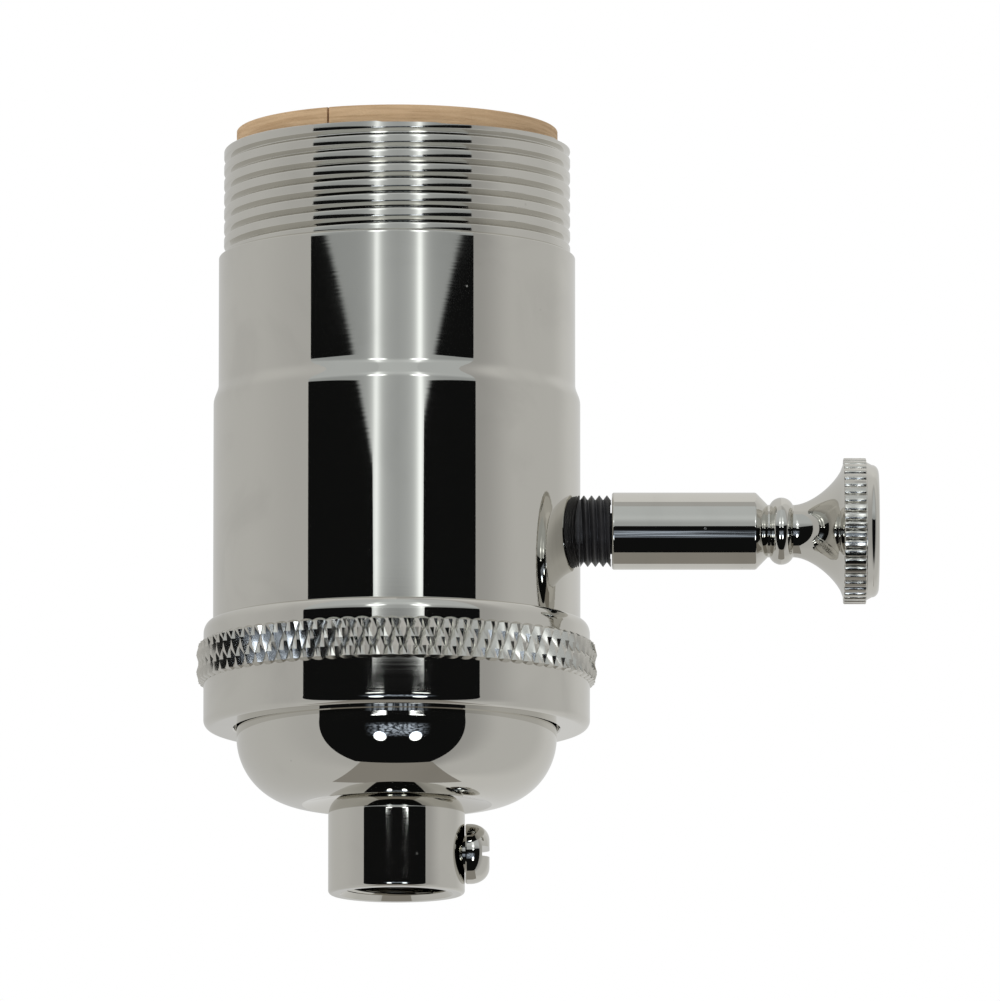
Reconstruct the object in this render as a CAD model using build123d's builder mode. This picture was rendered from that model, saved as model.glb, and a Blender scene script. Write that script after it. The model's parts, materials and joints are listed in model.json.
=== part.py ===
"""Dimmer lamp socket: a nickel casing with a lamp holder on top and a rotary dimmer inside.

The socket axis is +Z, with the origin at the centre of the pipe hub's mouth. The dimmer's
shaft runs along +X, out through the side of the casing, and carries the turned knob.
All sizes are in millimetres.
"""

import os
from math import cos, radians, sin

from build123d import *

# Fits between separate pieces
seat_gap = 0.05
running_gap = 0.05
loose_gap = 0.15

# Pipe hub, from its mouth up to the seat of the cap
hub_radius = 6.48
hub_height = 9.4
hub_shoulder_height = 7.5
hub_top_radius = 5.2
hub_shoulder_shape = (0.75, 0.65)
hub_edge = 0.25
pipe_thread_radius = 4.6
pipe_thread_end = 8.2
mouth_radius = 5.25
mouth_depth = 0.4
tenon_radius = 4.85
tenon_bore = 4.0
staked_head_radius = 5.7
staked_head_height = 0.6

# Set screw in the hub's side
set_screw_height = 3.85
set_screw_radius = 1.75
set_screw_head_radius = 2.85
set_screw_head_length = 2.3
set_screw_head_rim = 0.77
set_screw_crown = (0.82, 0.72)
set_screw_slot_width = 0.95
set_screw_slot_depth = 0.7

# Domed cap
cap_inset = 2.25
cap_height = 8.4
cap_wall = 0.8
cap_corner_radius = 6.45
cap_seat_rise = 0.85
flange_margin = 0.1

# Coupling ring
ring_wall = 0.85
ring_lip_thickness = 1.1
ring_lip_gap = 0.25
ring_height = 10.15
ring_corner_radius = 0.8
knurl_rise = 0.7
knurl_start = 4.5
knurl_width = 3.45
knurl_bevel = 0.4
knurl_count = 41
knurl_depth = 0.45
knurl_groove_width = 1.4
knurl_lean = 22.0
ring_top_round = 1.1
ring_top_shape = (0.8, 0.6)

# Shell
shell_wall = 0.6
shell_height = 53.7
upper_inset = 0.475
step_rise = 29.5
step_length = 1.1
thread_shoulder = 0.475
thread_depth = 0.55
thread_pitch = 1.411
thread_turns = 7
thread_land = 0.45
thread_lead = 0.12
shoulder_drop = 0.45

# Insulating liner
liner_wall = 0.8
liner_reveal = 1.8
seam_angle = 245.0
seam_gap = 0.2
neck_relief = 0.75

# Interior body and its base plate
body_wall = 1.45
deck_thickness = 2.5
deck_clearance = 2.1
base_thickness = 1.55
base_edge_gap = 0.65
body_screw_side_gap = 0.7
body_screw_radius = 1.2
body_screw_head_radius = 2.1
body_screw_head_height = 1.45
body_screw_reach = 6.5
body_boss_radius = 2.3
body_boss_height = 7.5
contact_boss_radius = 6.3
contact_boss_height = 1.0

# Screw shell that takes the lamp's base
lamp_major_radius = 13.3
lamp_thread_depth = 0.9
lamp_side_gap = 0.85
lamp_pitch = 3.63
lamp_turns = 4
lamp_wall = 0.35
lamp_foot = 1.2
lamp_rim_inset = 1.0

# Centre contact, strips and their rivets
strip_thickness = 0.5
strip_width = 3.6
strip_overrun = 2.2
hot_strip_width = 4.3
hot_strip_rise = 5.8
contact_tab_width = 2.9
strip_bend = 0.7
contact_thickness = 0.4
contact_width = 4.5
contact_rise = 2.8
contact_foot = 1.8
contact_tongue_start = 0.9
contact_tongue_end = 4.05
contact_rivet_offset = 3.5
contact_rivet_radius = 0.85
shell_rivet_circle = 9.3
shell_rivet_radius = 1.0
rivet_head_height = 0.6
rivet_head_rim = 0.8
rivet_tail_rim = 0.55

# Supply terminals under the base plate
terminal_circle = 7.5
terminal_screw_radius = 1.75
terminal_head_radius = 3.2
terminal_head_height = 1.8
terminal_plate_thickness = 0.8
terminal_plate_length = 8.6
terminal_plate_width = 8.0
terminal_guard_height = 1.6
driver_slot_width = 0.8
driver_slot_depth = 0.7

# Dimmer: housing, track, rotor and neck
dial_rise = 17.0
dimmer_radius = 8.0
dimmer_depth = 7.6
dimmer_wall = 1.2
track_ledge = 0.4
track_thickness = 1.05
film_inner_radius = 3.4
film_outer_radius = 5.0
film_thickness = 0.2
film_dead_angle = 75.0
film_start_angle = 45.0
rotor_radius = 5.6
rotor_thickness = 1.6
rotor_front_gap = 1.2
stop_half_angle = 12.0
stop_margin_angle = 6.0
stop_height = 1.0
stop_clearance = 0.2
stop_root = 0.5
shaft_radius = 2.2
shaft_flat = 1.5
shaft_reach = 10.6
pivot_radius = 1.15
finger_width = 1.2
neck_collar_radius = 3.45
neck_thread_radius = 3.4
neck_thread_depth = 0.42
neck_thread_pitch = 0.675
neck_thread_turns = 4
neck_relief_length = 0.2
neck_spigot_radius = 3.0
terminal_pin = 0.7
terminal_pin_spacing = 2.5
terminal_pin_drop = 5.9

# Knob
knob_radius = 3.67
knob_sleeve_length = 13.7
knob_edge = 0.2
knob_waist_radius = 2.5
knob_taper_length = 1.1
knob_bead_radius = 3.2
knob_bead_length = 2.2
knob_flare_length = 4.6
knob_flare_shape = ((0.41, 0.19), (0.72, 0.49))
knob_disc_radius = 6.95
knob_disc_length = 2.15
knob_face_radius = 5.5
knob_face_rise = 1.2
knob_face_step = (0.4, 0.6)
knob_face_rim_radius = 6.3
knob_face_crown = (1.08, 6.07)
flute_count = 48
flute_depth = 0.32
flute_width = 0.5
flute_overcut = 0.15

# Circuit board and its components
board_gap = 1.34
board_edge_margin = 1.67
board_thickness = 1.1
board_top_gap = 1.9
lead_width = 0.5
lead_stick = 0.15
triac_size = (9.0, 8.5, 4.0)
triac_tab_height = 5.0
triac_tab_thickness = 1.2
triac_tab_hole_radius = 1.5
triac_lead_pitch = 2.54
triac_lead_drop = 2.0
triac_lead_depth = 2.4
triac_edge = 0.4
filter_size = (9.0, 9.0, 4.5)
filter_lead_pitch = 7.0
filter_top_gap = 1.0
timing_size = (7.0, 4.0, 2.6)
timing_lead_pitch = 5.0
capacitor_edge = 0.4
choke_place = -1.0
choke_length = 10.0
choke_rim_radius = 3.6
choke_rim_width = 1.2
choke_core_radius = 1.8
choke_wire_radius = 3.2
choke_lead_pitch = 6.0
choke_rise = 1.5
choke_standoff = 0.2
resistor_radius = 1.15
resistor_length = 6.3
diac_radius = 0.95
diac_length = 3.8
axial_place = -3.0
axial_lead_margin = 1.0
resistor_rise = 6.0
diac_rise = 3.0
part_spacing = 0.5

# Levels along the socket axis
cap_bottom = hub_height - cap_seat_rise
flange_underside = cap_bottom + cap_height
flange_top = flange_underside + cap_wall
shell_bottom = flange_top + seat_gap
shell_top = shell_bottom + shell_height
step_level = shell_bottom + step_rise
thread_top = shell_top - thread_lead
thread_bottom = thread_top - thread_turns * thread_pitch
dial_height = shell_bottom + dial_rise
base_top = shell_bottom + base_thickness
cavity_floor = base_top + seat_gap
deck_underside = dial_height + dimmer_radius + deck_clearance
deck_top = deck_underside + deck_thickness
board_top = deck_underside - board_top_gap
lamp_bottom = deck_top + seat_gap
lamp_top = shell_top - lamp_rim_inset

# Radii about the socket axis, from the lamp's thread outwards
lamp_minor_radius = lamp_major_radius - lamp_thread_depth
liner_bore_radius = lamp_major_radius + lamp_wall + lamp_side_gap
liner_radius = liner_bore_radius + liner_wall
thread_bore_radius = liner_radius + seat_gap
thread_root_radius = thread_bore_radius + shell_wall
thread_crest_radius = thread_root_radius + thread_depth
upper_radius = thread_crest_radius + thread_shoulder
shell_radius = upper_radius + upper_inset
ring_bore_radius = shell_radius + seat_gap
ring_radius = ring_bore_radius + ring_wall
cap_radius = shell_radius - cap_inset
flange_radius = shell_radius - flange_margin
body_radius = liner_bore_radius - loose_gap
cavity_radius = body_radius - body_wall
body_screw_circle = cap_radius - cap_wall - body_screw_side_gap - body_screw_head_radius

# Places along the dimmer shaft
dimmer_front = (cavity_radius**2 - dimmer_radius**2) ** 0.5 - loose_gap
dimmer_back = dimmer_front - dimmer_depth
board_front = dimmer_back - board_gap
board_back = board_front - board_thickness
board_half_width = (cavity_radius**2 - board_front**2) ** 0.5 - 2 * seat_gap
front_wall_inside = dimmer_front - dimmer_wall
track_front = dimmer_back + loose_gap + track_thickness
rotor_front = front_wall_inside - rotor_front_gap
rotor_back = rotor_front - rotor_thickness
collar_end = shell_radius - seat_gap
neck_thread_start = collar_end + neck_relief_length
neck_end = neck_thread_start + neck_thread_turns * neck_thread_pitch
knob_start = neck_end + loose_gap
shaft_end = knob_start + shaft_reach
dial_axis = Axis((0, 0, dial_height), (1, 0, 0))

hot_angle = 45.0
neutral_angle = 225.0
body_screw_angles = (135.0, 315.0)


def at_angle(radius, degrees, centre=(0, 0)):
    """Point on a circle, for profiles and plan layouts."""
    return (
        centre[0] + radius * cos(radians(degrees)),
        centre[1] + radius * sin(radians(degrees)),
    )


def on_dial(points):
    """Points given as place along the shaft and radius, lifted to the shaft's height."""
    return [(place, dial_height + radius) for place, radius in points]


# Shell: drawn tube with a step, a rolled shade thread at its top and one round hole for the neck
def shade_thread_points():
    flank = (thread_pitch - thread_land) / 2
    for turn in range(thread_turns):
        start = thread_bottom + turn * thread_pitch
        yield (thread_root_radius, start)
        yield (thread_crest_radius, start + flank)
        yield (thread_crest_radius, start + flank + thread_land)


with BuildPart() as shell:
    with BuildSketch(Plane.XZ):
        with BuildLine():
            Polyline(
                (shell_radius, shell_bottom),
                (shell_radius, step_level),
                (upper_radius, step_level + step_length),
                (upper_radius, thread_bottom - shoulder_drop),
                *shade_thread_points(),
                (thread_root_radius, thread_top),
                (thread_root_radius, shell_top),
                (thread_bore_radius, shell_top),
                (thread_bore_radius, thread_bottom - shoulder_drop),
                (upper_radius - shell_wall, thread_bottom - shoulder_drop - shell_wall),
                (upper_radius - shell_wall, step_level + step_length - shell_wall / 2),
                (shell_radius - shell_wall, step_level - shell_wall / 2),
                (shell_radius - shell_wall, shell_bottom),
                close=True,
            )
        make_face()
    revolve(axis=Axis.Z)
    with BuildSketch(Plane.YZ):
        with Locations((0, dial_height)):
            Circle(neck_collar_radius + loose_gap)
    extrude(amount=2 * shell_radius, mode=Mode.SUBTRACT)

# Insulating liner: rolled fibre tube with a butt seam, standing proud of the shell
with BuildPart() as insulating_liner:
    with BuildSketch(Plane.XY.offset(cavity_floor)):
        Circle(liner_radius)
        Circle(liner_bore_radius, mode=Mode.SUBTRACT)
        with PolarLocations(liner_radius - liner_wall / 2, 1, start_angle=seam_angle):
            Rectangle(2 * liner_wall, seam_gap, mode=Mode.SUBTRACT)
    extrude(amount=shell_top + liner_reveal - cavity_floor)
    with BuildSketch(Plane.YZ):
        with Locations((0, dial_height)):
            Circle(neck_collar_radius + neck_relief)
    extrude(amount=2 * liner_radius, mode=Mode.SUBTRACT)

# Coupling ring: its inner lip carries the cap's flange, its bore fits round the shell.
# Its band is knurled by two crossing sets of grooves, at half the real one's count.
ring_bottom = flange_underside - seat_gap - ring_lip_thickness
ring_top = ring_bottom + ring_height
knurl_bottom = ring_bottom + knurl_start
knurl_top = knurl_bottom + knurl_width
knurl_radius = ring_radius + knurl_rise
knurl_middle = (knurl_bottom + knurl_top) / 2
with BuildPart() as knurl_groove:
    with BuildSketch(Plane((knurl_radius, 0, knurl_middle), x_dir=(0, 1, 0), z_dir=(0, 0, 1))):
        Polygon(
            (-knurl_groove_width / 2, 0),
            (0, knurl_depth),
            (knurl_groove_width / 2, 0),
            (0, -knurl_depth),
            align=None,
        )
    extrude(amount=knurl_width, both=True)


def knurl_set(lean):
    """One groove for each place round the ring, leaning to one side."""
    tangent = Axis((knurl_radius, 0, knurl_middle), (1, 0, 0))
    leaning = knurl_groove.part.rotate(tangent, lean)
    return [leaning.rotate(Axis.Z, 360 * place / knurl_count) for place in range(knurl_count)]


with BuildPart() as coupling_ring:
    with BuildSketch(Plane.XZ):
        with BuildLine():
            corner = (ring_radius - ring_corner_radius, ring_bottom + ring_corner_radius)
            inner = Polyline(
                (ring_bore_radius, ring_top),
                (ring_bore_radius, flange_underside - seat_gap),
                (cap_radius + ring_lip_gap, flange_underside - seat_gap),
                (cap_radius + ring_lip_gap, ring_bottom),
                (corner[0], ring_bottom),
            )
            bend = Spline(
                inner @ 1,
                at_angle(ring_corner_radius, -45, corner),
                (ring_radius, corner[1]),
                tangents=[(1, 0), (0, 1)],
            )
            Polyline(
                bend @ 1,
                (ring_radius, knurl_bottom - knurl_bevel),
                (ring_radius + knurl_rise, knurl_bottom),
                (ring_radius + knurl_rise, knurl_top),
                (ring_radius, knurl_top + knurl_bevel),
                (ring_radius, ring_top - ring_top_round),
                (
                    ring_bore_radius + ring_top_shape[0] * ring_wall,
                    ring_top + (ring_top_shape[1] - 1) * ring_top_round,
                ),
                (ring_bore_radius, ring_top),
            )
        make_face()
    revolve(axis=Axis.Z)
    add([*knurl_set(knurl_lean), *knurl_set(-knurl_lean)], mode=Mode.SUBTRACT)

# Cap: one spun dome, dished up a little where the hub is staked into it
cap_corner = (cap_radius - cap_corner_radius, cap_bottom + cap_corner_radius)
cap_inner_corner = cap_corner_radius - cap_wall
with BuildPart() as cap:
    with BuildSketch(Plane.XZ):
        with BuildLine():
            outside = Polyline(
                (flange_radius, flange_top),
                (flange_radius, flange_underside),
                (cap_radius, flange_underside),
                (cap_radius, cap_corner[1]),
            )
            dome = Spline(
                outside @ 1,
                at_angle(cap_corner_radius, -22.5, cap_corner),
                at_angle(cap_corner_radius, -45, cap_corner),
                at_angle(cap_corner_radius, -67.5, cap_corner),
                (cap_corner[0], cap_bottom),
                tangents=[(0, -1), (-1, 0)],
            )
            Polyline(
                dome @ 1,
                (hub_top_radius + seat_gap, hub_height),
                (tenon_radius + seat_gap, hub_height),
                (tenon_radius + seat_gap, hub_height + cap_wall),
                (cap_corner[0], cap_bottom + cap_wall),
                at_angle(cap_inner_corner, -60, cap_corner),
                at_angle(cap_inner_corner, -30, cap_corner),
                (cap_radius - cap_wall, cap_corner[1]),
                (cap_radius - cap_wall, flange_top),
                outside @ 0,
            )
        make_face()
    revolve(axis=Axis.Z)

# Pipe hub: turned piece with the pipe bore, a round shoulder and a tenon staked over the cap
tenon_top = hub_height + cap_wall + seat_gap
with BuildPart() as pipe_hub:
    with BuildSketch(Plane.XZ):
        with BuildLine():
            foot = Polyline(
                (mouth_radius, 0),
                (hub_radius - hub_edge, 0),
                (hub_radius, hub_edge),
                (hub_radius, hub_shoulder_height),
            )
            shoulder = Spline(
                foot @ 1,
                (
                    hub_top_radius + hub_shoulder_shape[0] * (hub_radius - hub_top_radius),
                    hub_shoulder_height + hub_shoulder_shape[1] * (hub_height - hub_shoulder_height),
                ),
                (hub_top_radius, hub_height - seat_gap),
            )
            Polyline(
                shoulder @ 1,
                (tenon_radius, hub_height - seat_gap),
                (tenon_radius, tenon_top),
                (staked_head_radius, tenon_top),
                (staked_head_radius, tenon_top + staked_head_height),
                (tenon_bore, tenon_top + staked_head_height),
                (tenon_bore, pipe_thread_end),
                (pipe_thread_radius, pipe_thread_end),
                (pipe_thread_radius, mouth_depth),
                foot @ 0,
            )
        make_face()
    revolve(axis=Axis.Z)
    with BuildSketch(Plane.YZ):
        with Locations((0, set_screw_height)):
            Circle(set_screw_radius + seat_gap)
    extrude(amount=2 * hub_radius, mode=Mode.SUBTRACT)

# Set screw: domed head with a level slot, its tip just short of the pipe
screw_head_start = hub_radius + seat_gap
screw_head_end = screw_head_start + set_screw_head_length
with BuildPart() as set_screw:
    with BuildSketch(Plane.XZ):
        with BuildLine():
            shank = Polyline(
                (screw_head_end, set_screw_height),
                (pipe_thread_radius + loose_gap, set_screw_height),
                (pipe_thread_radius + loose_gap, set_screw_height + set_screw_radius),
                (screw_head_start, set_screw_height + set_screw_radius),
                (screw_head_start, set_screw_height + set_screw_head_radius),
                (screw_head_start + set_screw_head_rim, set_screw_height + set_screw_head_radius),
            )
            Spline(
                shank @ 1,
                (
                    screw_head_start + set_screw_crown[0] * set_screw_head_length,
                    set_screw_height + set_screw_crown[1] * set_screw_head_radius,
                ),
                shank @ 0,
                tangents=[(1, 0), (0, -1)],
            )
        make_face()
    revolve(axis=Axis((0, 0, set_screw_height), (1, 0, 0)))
    with BuildSketch(Plane.YZ.offset(screw_head_end)):
        with Locations((0, set_screw_height)):
            Rectangle(2 * (set_screw_head_radius + loose_gap), set_screw_slot_width)
    extrude(amount=-set_screw_slot_depth, mode=Mode.SUBTRACT)

# Interior body: moulded cup that carries the screw shell above and houses the dimmer below
with BuildPart() as interior_body:
    with BuildSketch(Plane.XY.offset(cavity_floor)):
        Circle(body_radius)
    extrude(amount=deck_top - cavity_floor)
    with BuildSketch(Plane.XY.offset(cavity_floor)):
        Circle(cavity_radius)
    extrude(amount=deck_underside - cavity_floor, mode=Mode.SUBTRACT)
    with BuildSketch(Plane.XY.offset(deck_top)):
        Circle(contact_boss_radius)
    extrude(amount=contact_boss_height)
    with BuildSketch(Plane.XY.offset(cavity_floor)):
        for angle in body_screw_angles:
            with Locations(at_angle(body_screw_circle, angle)):
                Circle(body_boss_radius)
    extrude(amount=body_boss_height)
    with BuildSketch(Plane.XY.offset(cavity_floor)):
        for angle in body_screw_angles:
            with Locations(at_angle(body_screw_circle, angle)):
                Circle(body_screw_radius + seat_gap)
    extrude(amount=body_screw_reach + loose_gap, mode=Mode.SUBTRACT)
    with BuildSketch(Plane.XY.offset(deck_underside)):
        with Locations((-contact_rivet_offset, 0)):
            Circle(contact_rivet_radius + seat_gap)
        for angle in (hot_angle, neutral_angle):
            with Locations(at_angle(shell_rivet_circle, angle)):
                Circle(shell_rivet_radius + seat_gap)
    extrude(amount=deck_thickness + contact_boss_height, mode=Mode.SUBTRACT)
    with BuildSketch(Plane.YZ):
        with Locations((0, dial_height)):
            Circle(neck_collar_radius + loose_gap)
        with Locations((0, (cavity_floor + dial_height) / 2)):
            Rectangle(2 * (neck_collar_radius + loose_gap), dial_height - cavity_floor)
    extrude(amount=2 * body_radius, mode=Mode.SUBTRACT)

# Base plate: moulded disc that closes the interior body and carries the supply terminals
with BuildPart() as base_plate:
    with BuildSketch(Plane.XY.offset(shell_bottom)):
        Circle(shell_radius - shell_wall - base_edge_gap)
        for angle in (hot_angle, neutral_angle):
            with Locations(at_angle(terminal_circle, angle)):
                Circle(terminal_screw_radius + seat_gap, mode=Mode.SUBTRACT)
        for angle in body_screw_angles:
            with Locations(at_angle(body_screw_circle, angle)):
                Circle(body_screw_radius + seat_gap, mode=Mode.SUBTRACT)
    extrude(amount=base_thickness)


# Slotted pan screws pointing up, each with its head just under the given level
def pan_screws(places, head_top, head_radius, head_height, shank_radius, shank_top):
    with BuildPart() as screws:
        with BuildSketch(Plane.XY.offset(head_top - head_height)):
            with Locations(*places):
                Circle(head_radius)
        extrude(amount=head_height)
        with BuildSketch(Plane.XY.offset(head_top)):
            with Locations(*places):
                Circle(shank_radius)
        extrude(amount=shank_top - head_top)
        with BuildSketch(Plane.XY.offset(head_top - head_height)):
            with Locations(*places):
                Rectangle(2 * (head_radius + loose_gap), driver_slot_width)
        extrude(amount=driver_slot_depth, mode=Mode.SUBTRACT)
    return screws


body_screws = pan_screws(
    [at_angle(body_screw_circle, angle) for angle in body_screw_angles],
    shell_bottom - seat_gap,
    body_screw_head_radius,
    body_screw_head_height,
    body_screw_radius,
    cavity_floor + body_screw_reach,
)

# Terminal plates: brass, bent down at the outer edge to guard the wire
plate_top = shell_bottom - seat_gap
plate_bottom = plate_top - terminal_plate_thickness


def terminal_plate(angle):
    with BuildPart() as plate:
        with BuildSketch(Plane.XY.offset(plate_bottom)):
            with PolarLocations(terminal_circle, 1, start_angle=angle):
                Rectangle(terminal_plate_length, terminal_plate_width)
                Circle(terminal_screw_radius + seat_gap, mode=Mode.SUBTRACT)
        extrude(amount=terminal_plate_thickness)
        guard_place = terminal_circle + (terminal_plate_length - terminal_plate_thickness) / 2
        with BuildSketch(Plane.XY.offset(plate_bottom)):
            with PolarLocations(guard_place, 1, start_angle=angle):
                Rectangle(terminal_plate_thickness, terminal_plate_width)
        extrude(amount=-terminal_guard_height)
    return plate


def terminal_screw(angle):
    return pan_screws(
        [at_angle(terminal_circle, angle)],
        plate_bottom - seat_gap,
        terminal_head_radius,
        terminal_head_height,
        terminal_screw_radius,
        cavity_floor + strip_thickness + seat_gap + loose_gap,
    )


hot_terminal_plate = terminal_plate(hot_angle)
neutral_terminal_plate = terminal_plate(neutral_angle)
hot_terminal_screw = terminal_screw(hot_angle)
neutral_terminal_screw = terminal_screw(neutral_angle)


# Screw shell: thin brass, its rolled thread drawn as plain rings of the same pitch
def lamp_thread_points(wall):
    for turn in range(lamp_turns):
        start = lamp_bottom + lamp_foot + turn * lamp_pitch
        yield (lamp_minor_radius + wall, start)
        yield (lamp_major_radius + wall, start + lamp_pitch / 2)


with BuildPart() as screw_shell:
    with BuildSketch(Plane.XZ):
        with BuildLine():
            thread_end = lamp_bottom + lamp_foot + lamp_turns * lamp_pitch
            Polyline(
                (contact_boss_radius + loose_gap, lamp_bottom),
                (lamp_minor_radius + lamp_wall, lamp_bottom),
                *lamp_thread_points(lamp_wall),
                (lamp_minor_radius + lamp_wall, thread_end),
                (lamp_minor_radius + lamp_wall, lamp_top),
                (lamp_minor_radius, lamp_top),
                (lamp_minor_radius, thread_end),
                *reversed(list(lamp_thread_points(0))),
                (lamp_minor_radius, lamp_bottom + lamp_wall),
                (contact_boss_radius + loose_gap, lamp_bottom + lamp_wall),
                close=True,
            )
        make_face()
    revolve(axis=Axis.Z)
    with BuildSketch(Plane.XY.offset(lamp_bottom)):
        for angle in (hot_angle, neutral_angle):
            with Locations(at_angle(shell_rivet_circle, angle)):
                Circle(shell_rivet_radius + seat_gap)
    extrude(amount=lamp_wall, mode=Mode.SUBTRACT)

# Strips under the deck and on the base plate
tab_top = deck_underside - seat_gap
tab_middle = tab_top - strip_thickness / 2
foot_middle = cavity_floor + strip_thickness / 2
neutral_plane = Plane(
    origin=(0, 0, 0),
    x_dir=(*at_angle(1, neutral_angle), 0),
    z_dir=(*at_angle(1, neutral_angle - 90), 0),
)
leg_radius = cavity_radius - strip_thickness
with BuildPart() as neutral_strip:
    with BuildSketch(neutral_plane):
        with BuildLine():
            FilletPolyline(
                (shell_rivet_circle - strip_width / 2, tab_middle),
                (leg_radius, tab_middle),
                (leg_radius, foot_middle),
                (terminal_circle - strip_overrun, foot_middle),
                radius=strip_bend,
            )
        trace(line_width=strip_thickness)
    extrude(amount=strip_width / 2, both=True)
    with BuildSketch(Plane.XY.offset(cavity_floor)):
        with PolarLocations(terminal_circle, 1, start_angle=neutral_angle):
            Circle(terminal_screw_radius + seat_gap / 2)
    extrude(amount=strip_thickness, mode=Mode.SUBTRACT)
    with BuildSketch(Plane.XY.offset(tab_top)):
        with PolarLocations(shell_rivet_circle, 1, start_angle=neutral_angle):
            Circle(shell_rivet_radius + seat_gap)
    extrude(amount=-strip_thickness, mode=Mode.SUBTRACT)

hot_place = at_angle(terminal_circle, hot_angle)
with BuildPart() as hot_strip:
    with BuildSketch(Plane.XZ.offset(-hot_place[1])):
        with BuildLine():
            FilletPolyline(
                (hot_place[0] + strip_overrun, foot_middle),
                (board_front + seat_gap + strip_thickness / 2, foot_middle),
                (board_front + seat_gap + strip_thickness / 2, cavity_floor + hot_strip_rise),
                radius=strip_bend,
            )
        trace(line_width=strip_thickness)
    extrude(amount=hot_strip_width / 2, both=True)
    with BuildSketch(Plane.XY.offset(cavity_floor)):
        with Locations(hot_place):
            Circle(terminal_screw_radius + seat_gap / 2)
    extrude(amount=strip_thickness, mode=Mode.SUBTRACT)

with BuildPart() as contact_tab:
    with BuildSketch(Plane.XZ):
        with BuildLine():
            FilletPolyline(
                (-contact_rivet_offset - strip_width / 2, tab_middle),
                (board_back - seat_gap - strip_thickness / 2, tab_middle),
                (board_back - seat_gap - strip_thickness / 2, board_top - strip_width),
                radius=strip_bend,
            )
        trace(line_width=strip_thickness)
    extrude(amount=contact_tab_width / 2, both=True)
    with BuildSketch(Plane.XY.offset(tab_top)):
        with Locations((-contact_rivet_offset, 0)):
            Circle(contact_rivet_radius + seat_gap)
    extrude(amount=-strip_thickness, mode=Mode.SUBTRACT)

# Centre contact: sprung brass tongue over the boss
contact_middle = deck_top + contact_boss_height + seat_gap + contact_thickness / 2
with BuildPart() as centre_contact:
    with BuildSketch(Plane.XZ):
        with BuildLine():
            FilletPolyline(
                (-contact_rivet_offset - contact_foot, contact_middle),
                (-contact_rivet_offset + contact_foot, contact_middle),
                (contact_tongue_start, contact_middle + contact_rise),
                (contact_tongue_end, contact_middle + contact_rise),
                radius=strip_bend,
            )
        trace(line_width=contact_thickness)
    extrude(amount=contact_width / 2, both=True)
    with BuildSketch(Plane.XY.offset(contact_middle - contact_thickness / 2)):
        with Locations((-contact_rivet_offset, 0)):
            Circle(contact_rivet_radius + seat_gap)
    extrude(amount=contact_thickness, mode=Mode.SUBTRACT)


# Rivets, each with its place, the level of its upset tail and the level of its flat head
def rivets(radius, spots):
    with BuildPart() as group:
        for place, lower, upper in spots:
            for level, height, size in (
                (lower - rivet_head_height, rivet_head_height, radius + rivet_tail_rim),
                (lower, upper - lower, radius),
                (upper, rivet_head_height, radius + rivet_head_rim),
            ):
                with BuildSketch(Plane.XY.offset(level)):
                    with Locations(place):
                        Circle(size)
                extrude(amount=height)
    return group


tab_bottom = tab_top - strip_thickness - seat_gap
contact_top = contact_middle + contact_thickness / 2 + seat_gap
flange_seat = lamp_bottom + lamp_wall + seat_gap
contact_rivet = rivets(
    contact_rivet_radius,
    [((-contact_rivet_offset, 0), tab_bottom, contact_top)],
)
shell_rivets = rivets(
    shell_rivet_radius,
    [
        (at_angle(shell_rivet_circle, hot_angle), deck_underside - seat_gap, flange_seat),
        (at_angle(shell_rivet_circle, neutral_angle), tab_bottom, flange_seat),
    ],
)

# Dimmer housing: cup on its side, with a stop lug inside and the neck screwed into its front
def dial_plane(place):
    """Plane across the dimmer shaft, its centre on the shaft's axis."""
    return Plane(origin=(place, 0, dial_height), x_dir=(0, 1, 0), z_dir=(1, 0, 0))


def ring_sector(inner, outer, middle, half_angle):
    """Closed outline of part of a flat ring, for the stop lug and the tab that meets it."""
    outer_arc = CenterArc((0, 0), outer, middle - half_angle, 2 * half_angle)
    inner_arc = CenterArc((0, 0), inner, middle - half_angle, 2 * half_angle)
    Line(outer_arc @ 0, inner_arc @ 0)
    Line(outer_arc @ 1, inner_arc @ 1)


stop_angle = 270.0
rest_angle = stop_angle - 2 * stop_half_angle - stop_margin_angle
housing_bore = dimmer_radius - dimmer_wall
track_rim = housing_bore + track_ledge
with BuildPart() as dimmer_housing:
    with BuildSketch(Plane.XZ):
        with BuildLine():
            Polyline(
                *on_dial(
                    (
                        (dimmer_back, dimmer_radius),
                        (dimmer_front, dimmer_radius),
                        (dimmer_front, neck_spigot_radius + seat_gap),
                        (front_wall_inside, neck_spigot_radius + seat_gap),
                        (front_wall_inside, housing_bore),
                        (track_front, housing_bore),
                        (track_front, track_rim),
                        (dimmer_back, track_rim),
                    )
                ),
                close=True,
            )
        make_face()
    revolve(axis=dial_axis)
    with BuildSketch(dial_plane(rotor_back)):
        with BuildLine():
            ring_sector(
                housing_bore - stop_height,
                housing_bore + stop_root,
                stop_angle,
                stop_half_angle,
            )
        make_face()
    extrude(amount=front_wall_inside - rotor_back)

# Track plate: phenolic disc with the raised resistive film, open over the off position
with BuildPart() as track_plate:
    with BuildSketch(dial_plane(track_front - track_thickness)):
        Circle(track_rim - seat_gap)
        Circle(pivot_radius + running_gap, mode=Mode.SUBTRACT)
        with GridLocations(terminal_pin_spacing, 1, 3, 1):
            with Locations((0, -terminal_pin_drop)):
                Rectangle(terminal_pin + 2 * seat_gap, terminal_pin + 2 * seat_gap, mode=Mode.SUBTRACT)
    extrude(amount=track_thickness - seat_gap)
    with BuildSketch(dial_plane(track_front - seat_gap)):
        with BuildLine():
            ring_sector(
                film_inner_radius,
                film_outer_radius,
                film_start_angle + film_dead_angle + (360 - film_dead_angle) / 2,
                (360 - film_dead_angle) / 2,
            )
        make_face()
    extrude(amount=film_thickness)

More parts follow.
